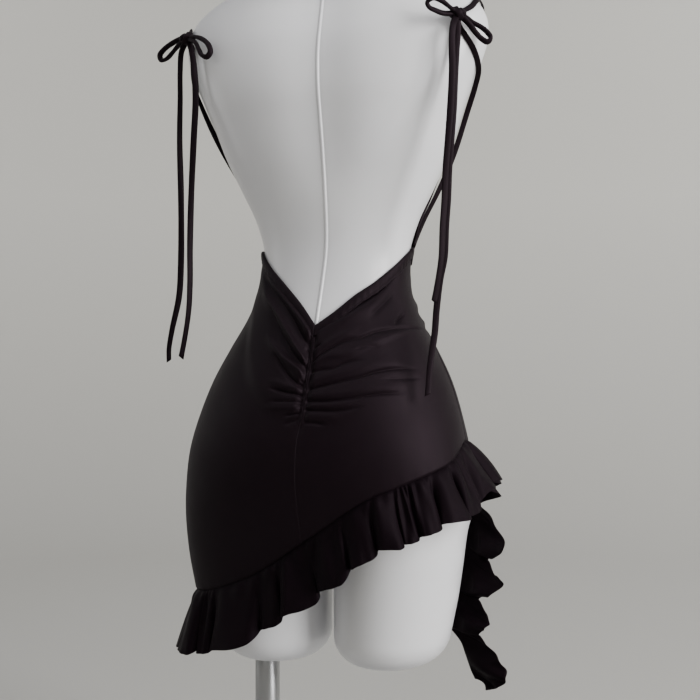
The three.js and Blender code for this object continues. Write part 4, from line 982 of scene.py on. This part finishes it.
# The bows: the strap ends are tied on each shoulder in a small bow of two loops, with a turn of
# the same tube wrapped round the middle as its knot.
LOOPS = {
    "left": [
        [(187.5, 47, 1032.8), (201.6, 42, 1029.5), (213.6, 39, 1024), (221.3, 37, 1017),
         (219.2, 37, 1010.4), (210.8, 39, 1011.2), (200.8, 42, 1018), (190.2, 46, 1025.5)],
        [(162, 60, 1030.5), (149, 66, 1025.5), (138.2, 71, 1016.5), (134, 74, 1006.5),
         (138.6, 74, 1000.8), (146.4, 72, 1003.8), (151.8, 69, 1012), (159.2, 64, 1022.5)],
    ],
    "right": [
        [(-164.9, 64, 1038.5), (-158, 71, 1043.7), (-148.5, 77, 1046.4), (-141.9, 77, 1042.5),
         (-143.6, 76, 1037.1), (-150.3, 71, 1033.7), (-157.2, 64, 1031.8)],
        [(-179.5, 46, 1029.8), (-186.3, 41, 1024.5), (-194.2, 37, 1020.2), (-201.7, 34, 1014.3),
         (-207.1, 33, 1006), (-203.6, 35, 1001.2), (-196.9, 38, 1005), (-190.9, 43, 1011.8),
         (-184.1, 48, 1021.3)],
    ],
}
LOOP_WIDTH, LOOP_THICK, LOOP_STEPS, LOOP_REACH = 7.0, 5.2, 64, 4.2
KNOT_SIZE = (10.2, 7.2, 7.4)


def add_knot(name, centre, lean):
    lat = np.radians(np.linspace(-86, 86, 44))
    lon = np.radians(np.arange(0, 360, 5.0))
    up, turn = np.meshgrid(lat, lon, indexing="ij")
    aim = np.stack([np.cos(up) * np.cos(turn), np.cos(up) * np.sin(turn), np.sin(up)], -1)
    wrap = np.abs(aim[..., 0] + lean * aim[..., 2])
    size = 1 + 0.13 * (1 - smooth(0.3, 0.5, wrap)) - 0.13 * np.exp(-(((wrap - 0.54) / 0.09) ** 2))
    size = size + 0.035 * np.sin(5 * np.arctan2(aim[..., 1], aim[..., 2]) + 3 * wrap + lean)
    local = aim * np.array(KNOT_SIZE) * size[..., None]
    cos, sin = math.cos(VIEW_TURN), math.sin(VIEW_TURN)
    rings = np.stack([
        local[..., 0] * cos - local[..., 1] * sin, local[..., 0] * sin + local[..., 1] * cos, local[..., 2]
    ], -1) + centre
    points, faces = closed_rings(rings)
    uv = np.stack([turn, up], -1).reshape(-1, 2) * KNOT_SIZE[2]
    piece = make_piece(name, points, faces, jersey, np.vstack([uv, uv[:1], uv[-1:]]))
    return piece


for word, knot in KNOTS.items():
    centre = np.array(knot, float)
    tied = add_knot(f"bow_knot_{word}", centre, 0.35 if word == "left" else -0.4)
    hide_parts(f"knot_{word}")
    for number, nodes in enumerate(LOOPS[word], 1):
        nodes = np.array(nodes, float)
        ends = [centre + unit(nodes[k] - centre) * LOOP_REACH for k in (0, -1)]
        path = smooth_path(np.vstack([ends[0], nodes, ends[1]]), LOOP_STEPS)
        plane = np.cross(nodes[0] - centre, nodes[-1] - centre)
        middle = path.mean(0)
        tilt = unit(unit(plane) + 0.55 * unit(path - middle))
        loop = add_tube(
            f"bow_loop_{word}_{number}", path, tilt,
            LOOP_WIDTH * wavering(LOOP_STEPS, 0.03, number),
            LOOP_THICK * wavering(LOOP_STEPS, 0.05, 2 + number),
        )
        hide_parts(f"loop_{word}_{number}")

# The ties: the free ends of the tubes hang from the bows to the waist and hip under their own
# weight, turning a little as they fall. Their ends are cut on the slant and left plain.
TIES = {
    "left": [
        [(185.6, 48, 1016), (190.4, 42, 994), (192.4, 37.8, 960), (194.2, 35.5, 907.5),
         (194.5, 31, 833), (196, 28, 752.5), (199.8, 26, 708), (209.7, 26, 665.5), (214, 26, 641),
         (214, 26, 626)],
        [(167.6, 57, 1014), (162.6, 59, 988), (162.2, 56.2, 954.5), (166.5, 52.8, 903),
         (173.7, 45, 830.5), (176.7, 42, 769), (176.7, 42, 725), (178.6, 42, 689),
         (183.7, 42, 656.5), (189.2, 42, 630)],
    ],
    "right": [
        [(-172.4, 54, 1012), (-171.1, 60.5, 964), (-169.8, 64.9, 915.5), (-164.7, 65, 851),
         (-163.3, 65, 814), (-160.9, 64, 784), (-159, 64, 748), (-153.7, 64, 721.5),
         (-149.5, 64, 686.5), (-148.2, 67, 660), (-145, 75, 624), (-144, 83, 588)],
        [(-169.9, 65, 1018), (-169.3, 69, 1003), (-169.8, 70.6, 962.5), (-168.2, 74, 914.5),
         (-163.1, 74, 850), (-161.4, 73, 813.5), (-159.3, 73, 783.5), (-157.4, 72, 747.5),
         (-153.4, 72, 721), (-148.6, 72, 695.5)],
    ],
}
TIE_WIDTH, TIE_THICK, TIE_STEPS, TIE_SLANT = 8.0, 2.6, 150, 4.0
TIE_TURN = {"left": (0.75, 0.6), "right": (0.1, 0.35)}
facing = np.array([math.cos(VIEW_TURN), math.sin(VIEW_TURN), 0.0])
sideways = np.array([-facing[1], facing[0], 0])

for word, knot in KNOTS.items():
    centre = np.array(knot, float)
    for number, nodes in enumerate(TIES[word], 1):
        start = centre + unit(np.array(nodes[0]) - centre) * KNOT_REACH
        path = smooth_path([start, *nodes], TIE_STEPS)
        turn = TIE_TURN[word][number - 1] * np.sin(np.linspace(0, 3.4, TIE_STEPS) + number) ** 2
        broad = facing * np.cos(turn)[:, None] + sideways * np.sin(turn)[:, None]
        taper = 1 - 0.1 * smooth(0.7, 1, np.linspace(0, 1, TIE_STEPS))
        tie = add_tube(
            f"bow_tie_{word}_{number}", path, broad,
            TIE_WIDTH * taper * wavering(TIE_STEPS, 0.025, number + 3.0),
            TIE_THICK * wavering(TIE_STEPS, 0.05, number + 1.0),
            slant=TIE_SLANT if number == 1 else -TIE_SLANT,
        )
        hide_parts(f"tie_{word}_{number}")

# The room: a pale floor that curves up all round into a plain plastered wall, lit by a broad
# window-like light from the right, a weaker one from the left, and soft daylight from above.
wall_paint, shader = new_material("wall_paint", (0.63, 0.622, 0.598), 0.9)
place = add_node(wall_paint, "TexCoord")
split = add_node(wall_paint, "SeparateXYZ")
height = add_node(wall_paint, "MapRange", From_Max=1.3)
# The paint is darker towards the bottom: it lightens from the floor up to 1.3 m.
tone = two_tones(wall_paint, (0.45, 0.443, 0.42), (0.638, 0.628, 0.59))
plaster = add_group(wall_paint, surface_grain, Scale=60.0, Detail=5.0, Strength=0.12, Distance=0.002)
join(
    wall_paint,
    (place, "Object", split, "Vector"), (split, "Z", height, "Value"),
    (height, "Result", tone, "Fac"), (tone, "Color", shader, "Base Color"),
    (place, "Object", plaster, "Place"), (plaster, "Normal", shader, "Normal"),
)
FLOOR_RADIUS, ROOM_CURVE, ROOM_SIDES = 2400, 1700, 96
room_profile = [(r, 0) for r in (40, 600, 1200, 1800, FLOOR_RADIUS)]
room_profile += [
    (FLOOR_RADIUS + ROOM_CURVE * math.sin(a), ROOM_CURVE * (1 - math.cos(a)))
    for a in np.radians(np.arange(5, 91, 5))
]
room_profile += [(FLOOR_RADIUS + ROOM_CURVE, z) for z in (2500, 3400)]
room_points = np.vstack(turned_rings([(r, z - 0.5) for r, z in room_profile], 0, ROOM_SIDES))
room_mesh = bpy.data.meshes.new("room")
room_faces = grid_faces(len(room_profile), ROOM_SIDES, True) + [list(range(ROOM_SIDES))]
room_mesh.from_pydata((room_points / 1000).tolist(), [], room_faces)
room_mesh.materials.append(wall_paint)
room_mesh.shade_smooth()
room = bpy.data.objects.new("room", room_mesh)
bpy.context.scene.collection.objects.link(room)


def add_light(name, place, aim, size, power, colour):
    data = bpy.data.lights.new(name, "AREA")
    data.shape = "RECTANGLE"
    data.size, data.size_y = size
    data.energy = power
    data.color = colour
    lamp = bpy.data.objects.new(name, data)
    lamp.location = place
    gaze = np.array(aim, float) - np.array(place, float)
    lamp.rotation_euler = (
        math.acos(-gaze[2] / np.linalg.norm(gaze)), 0, math.atan2(gaze[1], gaze[0]) - math.pi / 2,
    )
    bpy.context.scene.collection.objects.link(lamp)


add_light("window_right", (-2.5, 0.75, 1.6), (0, 0, 0.65), (1.3, 2.0), 124, (1, 0.99, 0.985))
add_light("window_left", (2.4, 0.3, 1.5), (0, 0, 0.8), (0.6, 2.0), 7, (0.97, 0.98, 1))
add_light("ceiling", (0.3, 0.9, 3.1), (0, 0, 0.7), (2.0, 1.6), 20, (1, 1, 1))
add_light("wall_wash_right", (-1.6, -2.0, 2.9), (-0.6, -4.0, 1.6), (1.0, 1.0), 50, (1, 1, 1))
add_light("wall_wash_left", (2.6, -1.6, 2.9), (2.9, -2.8, 1.5), (1.0, 1.0), 10, (1, 1, 1))
world = bpy.data.worlds.new("soft_daylight")
bpy.context.scene.world = world
world.use_nodes = True
set_inputs(world.node_tree.nodes["Background"], Color=(0.95, 0.96, 1, 1), Strength=0.3)
